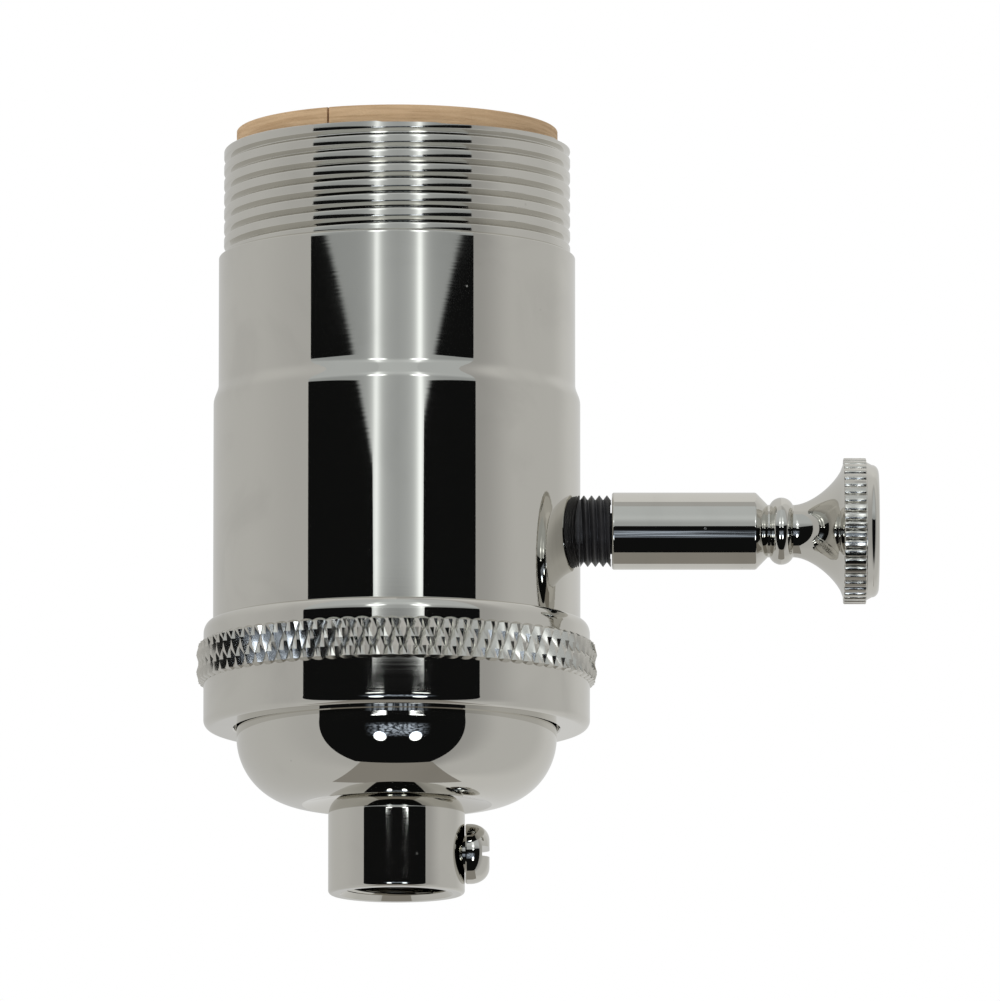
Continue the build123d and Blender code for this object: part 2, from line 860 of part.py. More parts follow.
# Terminal pins: from the track plate through the circuit board
with BuildPart() as dimmer_pins:
    with BuildSketch(dial_plane(board_back - lead_stick)):
        with GridLocations(terminal_pin_spacing, 1, 3, 1):
            with Locations((0, -terminal_pin_drop)):
                Rectangle(terminal_pin, terminal_pin)
    extrude(amount=track_front - seat_gap - board_back + lead_stick)

# Rotor and shaft: pivot, disc with the stop tab, and a long shaft with a flat for the knob
wiper_angle = rest_angle + 180
hub_back = track_front + film_thickness + running_gap
with BuildPart() as rotor_shaft:
    with BuildSketch(Plane.XZ):
        with BuildLine():
            Polyline(
                *on_dial(
                    (
                        (track_front - track_thickness, 0),
                        (track_front - track_thickness, pivot_radius),
                        (hub_back, pivot_radius),
                        (hub_back, shaft_radius - seat_gap),
                        (rotor_back, shaft_radius - seat_gap),
                        (rotor_back, rotor_radius),
                        (rotor_front, rotor_radius),
                        (rotor_front, shaft_radius),
                        (shaft_end, shaft_radius),
                        (shaft_end, 0),
                    )
                ),
                close=True,
            )
        make_face()
    revolve(axis=dial_axis)
    with BuildSketch(dial_plane(rotor_back)):
        with BuildLine():
            ring_sector(
                rotor_radius - stop_root,
                housing_bore - stop_clearance,
                rest_angle,
                stop_half_angle,
            )
        make_face()
    extrude(amount=rotor_thickness)
    with BuildSketch(dial_plane(neck_end - loose_gap)):
        with Locations((0, shaft_flat)):
            Rectangle(2 * shaft_radius, shaft_radius, align=(Align.CENTER, Align.MIN))
    extrude(amount=shaft_end - neck_end + loose_gap, mode=Mode.SUBTRACT)

# Wiper: thin sprung plate on the rotor's back, with one finger that reaches the film
wiper_thickness = contact_thickness / 2
film_middle_radius = (film_inner_radius + film_outer_radius) / 2
wiper_plane = Plane(
    origin=(0, 0, dial_height),
    x_dir=(1, 0, 0),
    z_dir=(0, *at_angle(1, wiper_angle - 90)),
)
finger_clearance = 2 * running_gap + wiper_thickness / 2
with BuildPart() as wiper:
    with BuildSketch(dial_plane(rotor_back - seat_gap - wiper_thickness)):
        Circle(film_inner_radius)
        Circle(shaft_radius, mode=Mode.SUBTRACT)
    extrude(amount=wiper_thickness)
    with BuildSketch(wiper_plane):
        with BuildLine():
            Polyline(
                (rotor_back - seat_gap - wiper_thickness / 2, shaft_radius + 2 * running_gap),
                (rotor_back - seat_gap - wiper_thickness / 2, film_inner_radius),
                (track_front - seat_gap + film_thickness + finger_clearance, film_middle_radius),
                (track_front + film_thickness + 2 * finger_clearance, film_outer_radius),
            )
        trace(line_width=wiper_thickness)
    extrude(amount=finger_width / 2, both=True)


# Threaded neck: black moulding through the casing, its outer thread drawn as rings
def neck_thread_points():
    for turn in range(neck_thread_turns):
        start = neck_thread_start + turn * neck_thread_pitch
        yield (start, neck_thread_radius - neck_thread_depth)
        yield (start + neck_thread_pitch / 2, neck_thread_radius)


with BuildPart() as threaded_neck:
    with BuildSketch(Plane.XZ):
        with BuildLine():
            Polyline(
                *on_dial(
                    (
                        (front_wall_inside + seat_gap, neck_spigot_radius),
                        (dimmer_front + seat_gap, neck_spigot_radius),
                        (dimmer_front + seat_gap, neck_collar_radius),
                        (collar_end, neck_collar_radius),
                        (collar_end, neck_thread_radius - neck_thread_depth),
                        *neck_thread_points(),
                        (neck_end, neck_thread_radius - neck_thread_depth),
                        (neck_end, shaft_radius + running_gap),
                        (front_wall_inside + seat_gap, shaft_radius + running_gap),
                    )
                ),
                close=True,
            )
        make_face()
    revolve(axis=dial_axis)

# Knob: one turned piece with sleeve, bead, flare and fluted rim, bored to fit the flatted shaft
sleeve_end = knob_start + knob_sleeve_length
bead_start = sleeve_end + knob_taper_length + knob_edge
bead_end = bead_start + knob_bead_length
flare_start = bead_end + knob_edge
disc_start = flare_start + knob_flare_length
disc_end = disc_start + knob_disc_length
flare_rise = knob_disc_radius - knob_waist_radius
flute_half_mouth = flute_width / 2 * (1 + flute_overcut / flute_depth)
with BuildPart() as knob:
    with BuildSketch(Plane.XZ):
        with BuildLine():
            sleeve = Polyline(
                *on_dial(
                    (
                        (knob_start, 0),
                        (knob_start, knob_radius - knob_edge),
                        (knob_start + knob_edge, knob_radius),
                        (sleeve_end, knob_radius),
                        (sleeve_end + knob_taper_length, knob_waist_radius),
                        (bead_start, knob_waist_radius),
                    )
                )
            )
            bead = Spline(
                sleeve @ 1,
                *on_dial(
                    (
                        ((bead_start + bead_end) / 2, knob_bead_radius),
                        (bead_end, knob_waist_radius),
                    )
                ),
                tangents=[(1, 1), (1, -1)],
            )
            waist = Line(bead @ 1, *on_dial([(flare_start, knob_waist_radius)]))
            flare = Spline(
                *on_dial(
                    (
                        (flare_start, knob_waist_radius),
                        *(
                            (flare_start + along * knob_flare_length, knob_waist_radius + out * flare_rise)
                            for along, out in knob_flare_shape
                        ),
                        (disc_start, knob_disc_radius - flute_depth - seat_gap),
                    )
                ),
                tangents=[(1, 0), (0.3, 1)],
            )
            rim = Polyline(
                flare @ 1,
                *on_dial(
                    (
                        (disc_start, knob_disc_radius),
                        (disc_end, knob_disc_radius),
                        (disc_end, knob_disc_radius - flute_depth - seat_gap),
                        (disc_end + knob_face_step[0], knob_face_rim_radius),
                        (disc_end + knob_face_step[1], knob_face_rim_radius),
                    )
                ),
            )
            face = Spline(
                rim @ 1,
                *on_dial(
                    (
                        (disc_end + knob_face_crown[0], knob_face_crown[1]),
                        (disc_end + knob_face_rise, knob_face_radius),
                    )
                ),
            )
            Polyline(face @ 1, *on_dial([(disc_end + knob_face_rise, 0)]), sleeve @ 0)
        make_face()
    revolve(axis=dial_axis)
    with BuildSketch(dial_plane(knob_start)):
        Circle(shaft_radius + seat_gap)
        with Locations((0, shaft_flat + seat_gap)):
            Rectangle(
                3 * shaft_radius,
                shaft_radius,
                align=(Align.CENTER, Align.MIN),
                mode=Mode.SUBTRACT,
            )
    extrude(amount=shaft_reach + loose_gap, mode=Mode.SUBTRACT)
    with BuildSketch(dial_plane(disc_start)):
        with PolarLocations(knob_disc_radius, flute_count):
            Polygon(
                (-flute_depth, 0),
                (flute_overcut, flute_half_mouth),
                (flute_overcut, -flute_half_mouth),
                align=None,
            )
    extrude(amount=knob_disc_length, mode=Mode.SUBTRACT)

# Places of the components on the board, as distance along Y and height
triac_bottom = deck_underside - strip_thickness - triac_tab_height - triac_size[1]
triac_place = triac_size[0] / 2 + board_edge_margin - board_half_width
capacitor_place = board_half_width - board_edge_margin - filter_size[0] / 2
choke_height = cavity_floor + choke_rise + choke_rim_radius
filter_place = (capacitor_place, board_top - filter_top_gap - filter_size[1] / 2)
timing_place = (capacitor_place, choke_height + choke_rim_radius + part_spacing + timing_size[1] / 2)
resistor_height = cavity_floor + resistor_rise
diac_height = cavity_floor + diac_rise
triac_lead_height = triac_bottom - triac_lead_drop


def two_leads(place, pitch):
    """The two ends of a part that lies along Y."""
    return [(place[0] - pitch / 2, place[1]), (place[0] + pitch / 2, place[1])]


choke_leads = two_leads((choke_place, choke_height), choke_lead_pitch)
filter_leads = two_leads(filter_place, filter_lead_pitch)
timing_leads = two_leads(timing_place, timing_lead_pitch)
resistor_leads = two_leads((axial_place, resistor_height), resistor_length + 2 * axial_lead_margin)
diac_leads = two_leads((axial_place, diac_height), diac_length + 2 * axial_lead_margin)
triac_leads = [(triac_place + step * triac_lead_pitch, triac_lead_height) for step in (-1, 0, 1)]

# Circuit board: upright across the cavity, held between its walls
with BuildPart() as circuit_board:
    with BuildSketch(Plane.YZ.offset(board_back)):
        with Locations((0, (cavity_floor + board_top) / 2)):
            Rectangle(2 * board_half_width, board_top - cavity_floor)
        with Locations(
            *triac_leads,
            *choke_leads,
            *filter_leads,
            *timing_leads,
            *resistor_leads,
            *diac_leads,
        ):
            Rectangle(lead_width + 2 * seat_gap, lead_width + 2 * seat_gap, mode=Mode.SUBTRACT)
        with Locations((0, dial_height - terminal_pin_drop)):
            with GridLocations(terminal_pin_spacing, 1, 3, 1):
                Rectangle(terminal_pin + 2 * seat_gap, terminal_pin + 2 * seat_gap, mode=Mode.SUBTRACT)
    extrude(amount=board_thickness)

# Triac: moulded body with a drilled metal tab and three leads bent into the board
triac_back = board_back - seat_gap
with BuildPart() as triac:
    with BuildSketch(Plane.YZ.offset(triac_back)):
        with Locations((triac_place, triac_bottom + triac_size[1] / 2)):
            Rectangle(triac_size[0], triac_size[1])
    extrude(amount=-triac_size[2])
    chamfer(triac.edges().filter_by(Axis.Z).sort_by(Axis.X)[:2], triac_edge)
    with BuildSketch(Plane.YZ.offset(triac_back)):
        with Locations((triac_place, triac_bottom + triac_size[1] + triac_tab_height / 2)):
            Rectangle(triac_size[0], triac_tab_height)
            Circle(triac_tab_hole_radius, mode=Mode.SUBTRACT)
    extrude(amount=-triac_tab_thickness)
    lead_column = triac_back - triac_lead_depth
    for place, height in triac_leads:
        with BuildSketch(Plane.XZ.offset(-place)):
            with BuildLine():
                Polyline(
                    (lead_column, triac_bottom + lead_width),
                    (lead_column, height),
                    (board_front + lead_stick, height),
                )
            trace(line_width=lead_width)
        extrude(amount=lead_width / 2, both=True)


# Box capacitor, flat against the back of the board on two straight leads
def box_capacitor(place, size, leads):
    with BuildPart() as capacitor:
        with BuildSketch(Plane.YZ.offset(board_back - seat_gap)):
            with Locations(place):
                Rectangle(size[0], size[1])
        extrude(amount=-size[2])
        chamfer(capacitor.faces().sort_by(Axis.X)[0].edges(), capacitor_edge)
        with BuildSketch(Plane.YZ.offset(board_front + lead_stick)):
            with Locations(*leads):
                Rectangle(lead_width, lead_width)
        extrude(amount=board_back - seat_gap - board_front - lead_stick)
    return capacitor


filter_capacitor = box_capacitor(filter_place, filter_size, filter_leads)
timing_capacitor = box_capacitor(timing_place, timing_size, timing_leads)

# Choke: a ferrite bobbin along Y with one block of windings between its rims
choke_column = board_back - choke_standoff - choke_rim_radius
choke_plane = Plane.XZ.offset(-choke_place - choke_length / 2)
with BuildPart() as choke_core:
    for start, length, radius in (
        (0, choke_rim_width, choke_rim_radius),
        (choke_rim_width, choke_length - 2 * choke_rim_width, choke_core_radius),
        (choke_length - choke_rim_width, choke_rim_width, choke_rim_radius),
    ):
        with BuildSketch(choke_plane.offset(start)):
            with Locations((choke_column, choke_height)):
                Circle(radius)
        extrude(amount=length)

with BuildPart() as choke_winding:
    with BuildSketch(choke_plane.offset(choke_rim_width + seat_gap)):
        with Locations((choke_column, choke_height)):
            Circle(choke_wire_radius)
            Circle(choke_core_radius + seat_gap, mode=Mode.SUBTRACT)
    extrude(amount=choke_length - 2 * choke_rim_width - 2 * seat_gap)
    with BuildSketch(Plane.YZ.offset(board_front + lead_stick)):
        with Locations(*choke_leads):
            Rectangle(lead_width, lead_width)
    extrude(amount=choke_column + choke_wire_radius - lead_width - board_front - lead_stick)


# Axial part on the front of the board: a body along Y with both leads turned into the board
def axial_part(height, radius, length, leads):
    column = board_front + seat_gap + radius
    with BuildPart() as piece:
        with BuildSketch(Plane.XZ.offset(-axial_place - length / 2)):
            with Locations((column, height)):
                Circle(radius)
        extrude(amount=length)
        with BuildSketch(Plane.XZ.offset(-leads[1][0] - lead_width / 2)):
            with Locations((column, height)):
                Rectangle(lead_width, lead_width)
        extrude(amount=leads[1][0] - leads[0][0] + lead_width)
        with BuildSketch(Plane.YZ.offset(board_back - lead_stick)):
            with Locations(*leads):
                Rectangle(lead_width, lead_width)
        extrude(amount=column - board_back + lead_stick)
    return piece


resistor = axial_part(resistor_height, resistor_radius, resistor_length, resistor_leads)
diac = axial_part(diac_height, diac_radius, diac_length, diac_leads)

pieces = {
    "shell": shell,
    "insulating_liner": insulating_liner,
    "coupling_ring": coupling_ring,
    "cap": cap,
    "pipe_hub": pipe_hub,
    "set_screw": set_screw,
    "interior_body": interior_body,
    "base_plate": base_plate,
    "body_screws": body_screws,
    "hot_terminal_plate": hot_terminal_plate,
    "neutral_terminal_plate": neutral_terminal_plate,
    "hot_terminal_screw": hot_terminal_screw,
    "neutral_terminal_screw": neutral_terminal_screw,
    "screw_shell": screw_shell,
    "centre_contact": centre_contact,
    "contact_rivet": contact_rivet,
    "shell_rivets": shell_rivets,
    "contact_tab": contact_tab,
    "hot_strip": hot_strip,
    "neutral_strip": neutral_strip,
    "circuit_board": circuit_board,
    "triac": triac,
    "diac": diac,
    "resistor": resistor,
    "timing_capacitor": timing_capacitor,
    "filter_capacitor": filter_capacitor,
    "choke_core": choke_core,
    "choke_winding": choke_winding,
    "dimmer_housing": dimmer_housing,
    "track_plate": track_plate,
    "dimmer_pins": dimmer_pins,
    "threaded_neck": threaded_neck,
    "rotor_shaft": rotor_shaft,
    "wiper": wiper,
    "knob": knob,
}

os.makedirs("parts", exist_ok=True)
for name, piece in pieces.items():
    piece.part.label = name
    export_step(piece.part, f"parts/{name}.step")
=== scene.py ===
"""Dresses the dimmer lamp socket: turned, threaded and knurled casing pieces, finishes and studio.

Sizes are in metres. Every turned piece is an outline drawn point by point and spun about its
own axis: the socket's axis is Z, the dimmer shaft's axis is X at the knob's height.
"""

import json
from functools import partialmethod
from math import atan2, cos, degrees, pi, radians, sin, sqrt

import bpy
from bpy.props import FloatProperty, FloatVectorProperty, IntProperty, PointerProperty
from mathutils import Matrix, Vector


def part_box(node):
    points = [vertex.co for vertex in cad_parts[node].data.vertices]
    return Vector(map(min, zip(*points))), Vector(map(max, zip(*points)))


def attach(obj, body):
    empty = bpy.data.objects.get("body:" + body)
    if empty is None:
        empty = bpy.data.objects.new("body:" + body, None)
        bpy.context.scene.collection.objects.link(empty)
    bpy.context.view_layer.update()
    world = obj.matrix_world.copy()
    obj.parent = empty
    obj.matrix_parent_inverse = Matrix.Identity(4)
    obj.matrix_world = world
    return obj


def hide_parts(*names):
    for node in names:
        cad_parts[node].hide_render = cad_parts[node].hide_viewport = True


bl_info = {
    "name": "Dimmer lamp socket",
    "version": (1, 0, 0),
    "blender": (4, 5, 0),
    "location": "3D View > Sidebar > Socket",
    "description": "Builds the visible pieces, finishes and studio of a dimmer lamp socket",
    "category": "Object",
}

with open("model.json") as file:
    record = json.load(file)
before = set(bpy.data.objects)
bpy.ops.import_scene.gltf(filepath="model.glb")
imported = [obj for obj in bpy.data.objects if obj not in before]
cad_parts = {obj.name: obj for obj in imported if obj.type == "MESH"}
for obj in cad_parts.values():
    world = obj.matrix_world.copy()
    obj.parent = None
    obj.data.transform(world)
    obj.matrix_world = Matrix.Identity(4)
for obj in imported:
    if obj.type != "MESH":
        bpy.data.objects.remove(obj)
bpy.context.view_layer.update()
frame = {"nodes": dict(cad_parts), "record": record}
MM = 0.001
# Small offsets, edges and clearances that several pieces share
HAIR, SLIGHT, SMALL = 0.02 * MM, 0.05 * MM, 0.1 * MM
# Points closer than this are one, and points nearer a plane than this lie in it
DISTINCT, IN_PLANE = 1e-7, 1e-6
ORIGIN = (0.0, 0.0, 0.0)
BODY, DIAL = "socket", "dial"
NICKEL = "polished_nickel"


def length(name, description, value):
    """A size that a user may change, given in millimetres and kept in metres."""
    return FloatProperty(name=name, description=description, default=value * MM, unit="LENGTH", precision=5)


def share(name, description, value):
    """A plain number from nought to one."""
    limits = {"min": 0.0, "max": 1.0, "subtype": "FACTOR"}
    return FloatProperty(name=name, description=description, default=value, **limits)


def tint(name, description, value):
    """A colour that a user may change."""
    limits = {"min": 0.0, "max": 1.0, "subtype": "COLOR", "size": 3}
    return FloatVectorProperty(name=name, description=description, default=value, **limits)


class CasingSizes(bpy.types.PropertyGroup):
    """Sizes of the casing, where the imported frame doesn't give them."""

    wall: length("Wall", "Thickness of the shell's sheet", 0.6)
    upper_inset: length("Upper inset", "How far the shell's upper part is set in", 0.475)
    step_rise: length("Step rise", "Height of the step above the shell's foot", 29.5)
    step_length: length("Step length", "Height that the step takes", 1.1)
    thread_depth: length("Thread depth", "Height of the shade thread's crests", 0.55)
    thread_radius: length("Thread radius", "Radius over the shade thread's crests", 16.5)
    thread_pitch: length("Thread pitch", "Rise of the shade thread in one turn", 1.411)
    crest_land: length("Crest land", "Half the flat of each crest", 0.28)
    crest_roll: length("Crest roll", "Radius of the curve beside that flat", 0.17)
    thread_turns: IntProperty(name="Thread turns", description="Turns of the shade thread", default=7)
    shoulder_drop: length("Shoulder drop", "Height of the shoulder under the thread", 0.45)
    edge: length("Edge", "Rounding of the sheet's edges", 0.12)
    lip_radius: length("Ring lip", "Radius inside the coupling ring's lower lip", 15.45)
    lip_thickness: length("Lip thickness", "Thickness of the ring's lower lip", 1.1)
    ring_radius: length("Ring radius", "Radius of the plain part of the ring", 18.35)
    ring_corner: length("Ring corner", "Rounding at the foot of the ring", 0.8)
    knurl_start: length("Knurl start", "Height of the knurl above the ring's foot", 4.5)
    knurl_width: length("Knurl width", "Height of the knurled band's flat", 3.45)
    knurl_bevel: length("Knurl bevel", "Sloping edge of the knurled band", 0.4)
    knurl_depth: length("Knurl depth", "Depth of the knurl where its grooves cross", 0.62)
    knurl_falling: length("Falling depth", "Depth of the knurl's falling grooves", 0.17)
    knurl_count: IntProperty(name="Knurl count", description="Diamonds round the ring", default=82)
    ring_round: length("Ring round", "Height of the rounding at the top of the ring", 1.1)
    cap_radius: length("Cap radius", "Radius of the cap's straight side", 15.2)
    cap_wall: length("Cap wall", "Thickness of the cap", 0.8)
    cap_corner: length("Cap corner", "Radius of the dome's curve", 6.45)
    hub_shoulder: length("Hub shoulder", "Height at which the hub starts to turn in", 7.5)
    hub_top: length("Hub top", "Radius of the hub under the cap", 5.2)
    hub_edge: length("Hub edge", "Rounding at the hub's foot", 0.35)
    mouth_radius: length("Mouth radius", "Radius of the pipe thread's countersink", 5.35)
    pipe_radius: length("Pipe radius", "Radius at the pipe thread's crests", 4.6)
    pipe_depth: length("Pipe depth", "Depth of the pipe thread", 0.45)
    pipe_pitch: length("Pipe pitch", "Rise of the pipe thread in one turn", 0.94)
    screw_height: length("Set screw height", "Height of the set screw's axis", 3.85)
    screw_slot_width: length("Slot width", "Width of the set screw's slot", 0.95)
    screw_slot_depth: length("Slot depth", "Depth of the set screw's slot", 0.7)
    liner_wall: length("Liner wall", "Thickness of the fibre liner", 0.8)
    seam_gap: length("Seam gap", "Gap between the liner's two ends", 0.22)
    seam_angle: FloatProperty(
        name="Seam angle", description="Where the liner's seam lies", default=radians(245), subtype="ANGLE"
    )
    lamp_radius: length("Lamp radius", "Radius at the lamp thread's crests", 12.4)
    lamp_depth: length("Lamp thread depth", "Depth of the lamp thread", 0.9)
    lamp_pitch: length("Lamp pitch", "Rise of the lamp thread in one turn", 3.63)
    lamp_wall: length("Lamp wall", "Thickness of the screw shell's sheet", 0.35)
    lamp_thread_end: length("Lamp thread end", "Height of the shell's plain mouth", 7.3)


class DialSizes(bpy.types.PropertyGroup):
    """Sizes of the neck and the knob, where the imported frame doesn't give them."""

    height: length("Shaft height", "Height of the dimmer shaft's axis", 34.8)
    collar_radius: length("Collar radius", "Radius of the neck's collar", 3.45)
    neck_bore: length("Neck bore", "Radius of the bore for the shaft", 2.25)
    neck_radius: length("Neck radius", "Radius over the neck's thread", 3.4)
    neck_depth: length("Neck depth", "Depth of the neck's thread", 0.42)
    neck_pitch: length("Neck pitch", "Rise of the neck's thread in one turn", 0.73)
    collar_end: length("Collar end", "Where the collar ends along the shaft", 17.4)
    sleeve_radius: length("Sleeve radius", "Radius of the knob's sleeve", 3.67)
    sleeve_length: length("Sleeve length", "Length of the knob's sleeve", 13.7)
    sleeve_edge: length("Sleeve edge", "Bevel at the sleeve's end", 0.2)
    bore_depth: length("Bore depth", "Depth of the bore for the shaft", 10.75)
    taper: length("Taper", "Length of the taper behind the sleeve", 1.1)
    waist: length("Waist", "Radius beside the bead", 2.5)
    bead_radius: length("Bead radius", "Radius over the bead", 3.2)
    bead_length: length("Bead length", "Length of the bead", 2.2)
    land: length("Land", "Narrow flat on each side of the bead", 0.2)
    flare_length: length("Flare length", "Length of the flare", 4.6)
    disc_length: length("Disc length", "Length of the fluted rim", 2.15)
    flute_depth: length("Flute depth", "Depth of one flute", 0.34)
    flute_count: IntProperty(name="Flute count", description="Flutes round the rim", default=48)
    face_radius: length("Face radius", "Radius at which the knob's face is flat", 5.5)
    face_rim: length("Face rim", "Radius of the step in front of the rim", 6.3)


class FinishColours(bpy.types.PropertyGroup):
    """Base colours of the finishes."""

    nickel: tint("Nickel", "Polished nickel plate", (0.66, 0.645, 0.60))
    brass: tint("Brass", "Rolled sheet brass", (0.78, 0.58, 0.27))
    steel: tint("Steel", "Zinc plated steel", (0.60, 0.61, 0.62))
    fibre: tint("Fibre", "Rolled brown fibre", (0.66, 0.46, 0.27))
    fibre_dark: tint("Dark fibre", "Darker strands of the fibre", (0.52, 0.34, 0.185))
    black: tint("Black moulding", "Black moulded plastic", (0.018, 0.018, 0.020))
    clay: tint("Moulded insulator", "Dark moulded insulator", (0.055, 0.048, 0.044))
    board: tint("Phenolic board", "Brown laminate", (0.36, 0.21, 0.09))
    coat: tint("Coat", "Blue glossy coat of the trigger diode", (0.10, 0.22, 0.45))
    lacquer: tint("Lacquer", "Tan lacquer of the resistor", (0.60, 0.46, 0.28))
    case: tint("Case", "Amber case of the capacitors", (0.62, 0.36, 0.06))
    ferrite: tint("Ferrite", "Dark sintered core", (0.07, 0.07, 0.075))
    wire: tint("Wire", "Enamelled copper wire", (0.50, 0.17, 0.06))


class StudioSettings(bpy.types.PropertyGroup):
    """Camera and light, as the photograph has them."""

    distance: length("Distance", "Camera to socket axis", 1600.0)
    elevation: FloatProperty(
        name="Elevation", description="Camera above the horizon", default=radians(-8.7), subtype="ANGLE"
    )
    view_width: length("View width", "Width of the view at the socket's axis", 95.2)
    view_centre: length("View centre", "How far right of the axis the view is centred", 9.81)
    view_height: length("View height", "Height at which the view is centred", 37.75)
    tent_level: share("Tent level", "Brightness of the tent as metal sees it", 0.60)
    soft_level: share("Soft level", "Even light on matt surfaces", 0.80)
    screen_distance: length("Screen distance", "Front of the tent before the axis", 525.0)
    slot_left: length("Slot left", "Left edge of the dark opening", -800.0)
    slot_right: length("Slot right", "Right edge of the dark opening", 636.0)
    flap_centre: length("Flap centre", "Lowest point of the cloth's edge, from the middle", -10.0)
    flap_height: length("Flap height", "Lower edge of the cloth over the opening, between the lamps", 93.0)
    flap_step: length("Flap step", "How much higher that edge is beside the lamps", 7.0)
    flap_slope: share("Flap slope", "Rise of that edge towards the sides", 0.160)
    cloth_low: share("Cloth at its edge", "Brightness of the cloth near its edge", 0.385)
    cloth_high: share("Cloth above", "Brightness of the cloth higher up", 0.58)
    lamp_centre: length("Lamp centre", "Middle between the two lamps", 12.0)
    lamp_offset: length("Lamp offset", "Each lamp from the middle between them", 127.0)
    lamp_width: length("Lamp width", "Half the width of a lamp's streak on the cloth", 24.5)
    lamp_drop: length("Lamp drop", "Height of the two lower lamps", -254.0)


def clear_selection():
    """Leaves edit mode with nothing selected."""
    if bpy.context.mode != "OBJECT":
        bpy.ops.object.mode_set(mode="OBJECT")
    bpy.ops.object.select_all(action="DESELECT")


def pick(piece):
    """Makes one piece the active and only selected one."""
    clear_selection()
    bpy.context.view_layer.objects.active = piece
    piece.select_set(True)


def named(name):
    """The object just added, with a name for it and its data."""
    piece = bpy.context.object
    piece.name = piece.data.name = name
    return piece


def edit_all():
    """Enters edit mode with the whole mesh selected."""
    bpy.ops.object.mode_set(mode="EDIT")
    bpy.ops.mesh.select_all(action="SELECT")


def leave_edit():
    """Goes back to object mode, with points to be picked the next time."""
    bpy.ops.mesh.select_mode(type="VERT")
    bpy.ops.object.mode_set(mode="OBJECT")


def face_outwards():
    """Turns every face outwards, from edit mode, and leaves it."""
    bpy.ops.mesh.select_all(action="SELECT")
    bpy.ops.mesh.normals_make_consistent(inside=False)
    leave_edit()


def select_only(piece, kind, test):
    """Selects the points, edges or faces that pass a test, and stays in edit mode."""
    pick(piece)
    bpy.ops.object.mode_set(mode="EDIT")
    bpy.ops.mesh.select_mode(type=kind)
    bpy.ops.mesh.select_all(action="DESELECT")
    bpy.ops.object.mode_set(mode="OBJECT")
    mesh = piece.data
    for item in {"VERT": mesh.vertices, "EDGE": mesh.edges, "FACE": mesh.polygons}[kind]:
        item.select = test(item)
    bpy.ops.object.mode_set(mode="EDIT")


def select_rim(piece, axis, limit):
    """Selects the edges that lie across an axis at one place on it, and stays in edit mode."""

    def lies_there(line):
        ends = [getattr(piece.data.vertices[end].co, axis.lower()) for end in line.vertices]
        return all(abs(place - limit) < IN_PLANE for place in ends)

    select_only(piece, "EDGE", lies_there)


def modify(piece, kind, **values):
    """Gives the active piece a modifier with these values, and applies it."""
    bpy.ops.object.modifier_add(type=kind)
    modifier = piece.modifiers[-1]
    for key, value in values.items():
        setattr(modifier, key, value)
    bpy.ops.object.modifier_apply(modifier=modifier.name)


def oval(centre, half_width, half_height, start, end, steps=10):
    """Points on part of an ellipse, its angles in degrees from outwards towards up."""
    turns = [radians(start + (end - start) * step / steps) for step in range(steps + 1)]
    return [(centre[0] + half_width * cos(turn), centre[1] + half_height * sin(turn)) for turn in turns]


def arc(centre, radius, start, end, steps):
    """Points on an arc, its angles in degrees from outwards towards up."""
    return oval(centre, radius, radius, start, end, steps)


def swept(start, end, across, steps):
    """Points from one to another, with the share across given by the share along."""
    shares = [step / steps for step in range(steps + 1)]
    return [
        (start[0] + (end[0] - start[0]) * across(along), start[1] + (end[1] - start[1]) * along)
        for along in shares
    ]


def blend_step(start, end, steps=8):
    """A soft S from one radius to the next."""
    return swept(start, end, lambda along: (1 - cos(pi * along)) / 2, steps)


def mirrored(upper_half):
    """A thread tooth's whole outline from its upper half."""
    return [(radius, -place) for radius, place in reversed(upper_half)] + upper_half


def draw(name, outline, axis="Z", height=0.0):
    """Draws an outline of (radius, place along the axis) from one vertex, and stays in edit mode."""
    points = [
        Vector((radius, 0.0, place) if axis == "Z" else (place, 0.0, radius)) for radius, place in outline
    ]
    clear_selection()
    bpy.ops.mesh.primitive_plane_add(size=MM, location=(0.0, 0.0, height))
    piece = named(name)
    edit_all()
    bpy.ops.mesh.merge(type="CENTER")
    bpy.ops.transform.translate(value=points[0])
    for start, end in zip(points, points[1:]):
        bpy.ops.mesh.extrude_region_move(TRANSFORM_OT_translate={"value": end - start})
    bpy.ops.mesh.select_all(action="SELECT")
    bpy.ops.mesh.remove_doubles(threshold=DISTINCT)
    return piece


def spin(piece, steps, **values):
    """Spins the drawn outline about its axis, along a helix where it has a pitch."""
    leave_edit()
    values.update(steps=steps, render_steps=steps, use_merge_vertices=True, merge_threshold=DISTINCT)
    modify(piece, "SCREW", **values)


def turned(name, outline, axis="Z", height=0.0, steps=256, **values):
    """A piece turned from a closed outline."""
    piece = draw(name, [*outline, outline[0]], axis, height)
    spin(piece, steps, axis=axis, **values)
    edit_all()
    bpy.ops.mesh.remove_doubles(threshold=DISTINCT)
    bpy.ops.mesh.fill_holes(sides=0)
    bpy.ops.mesh.normals_make_consistent(inside=False)
    leave_edit()
    return piece


def ridge(name, tooth, base, limits, pitch, turns, steps, axis="Z", height=0.0):
    """A helical ridge from a tooth's outline above its base, cut off square at both limits."""
    outline = [(radius, place + base) for radius, place in tooth]
    piece = turned(name, outline, axis, height, steps, screw_offset=pitch, iterations=turns)
    direction = Vector([float(part == axis) for part in "XYZ"])
    for limit, sign in zip(limits, (-1.0, 1.0)):
        edit_all()
        bpy.ops.mesh.bisect(plane_co=direction * limit, plane_no=direction * sign, clear_outer=True)
        bpy.ops.mesh.remove_doubles(threshold=DISTINCT)
        select_rim(piece, axis, limit)
        bpy.ops.mesh.fill(use_beauty=False)
        leave_edit()
    bpy.ops.object.mode_set(mode="EDIT")
    face_outwards()
    return piece


def join(main, *others):
    """Joins other pieces into the main one."""
    pick(main)
    for other in others:
        other.select_set(True)
    bpy.ops.object.join()


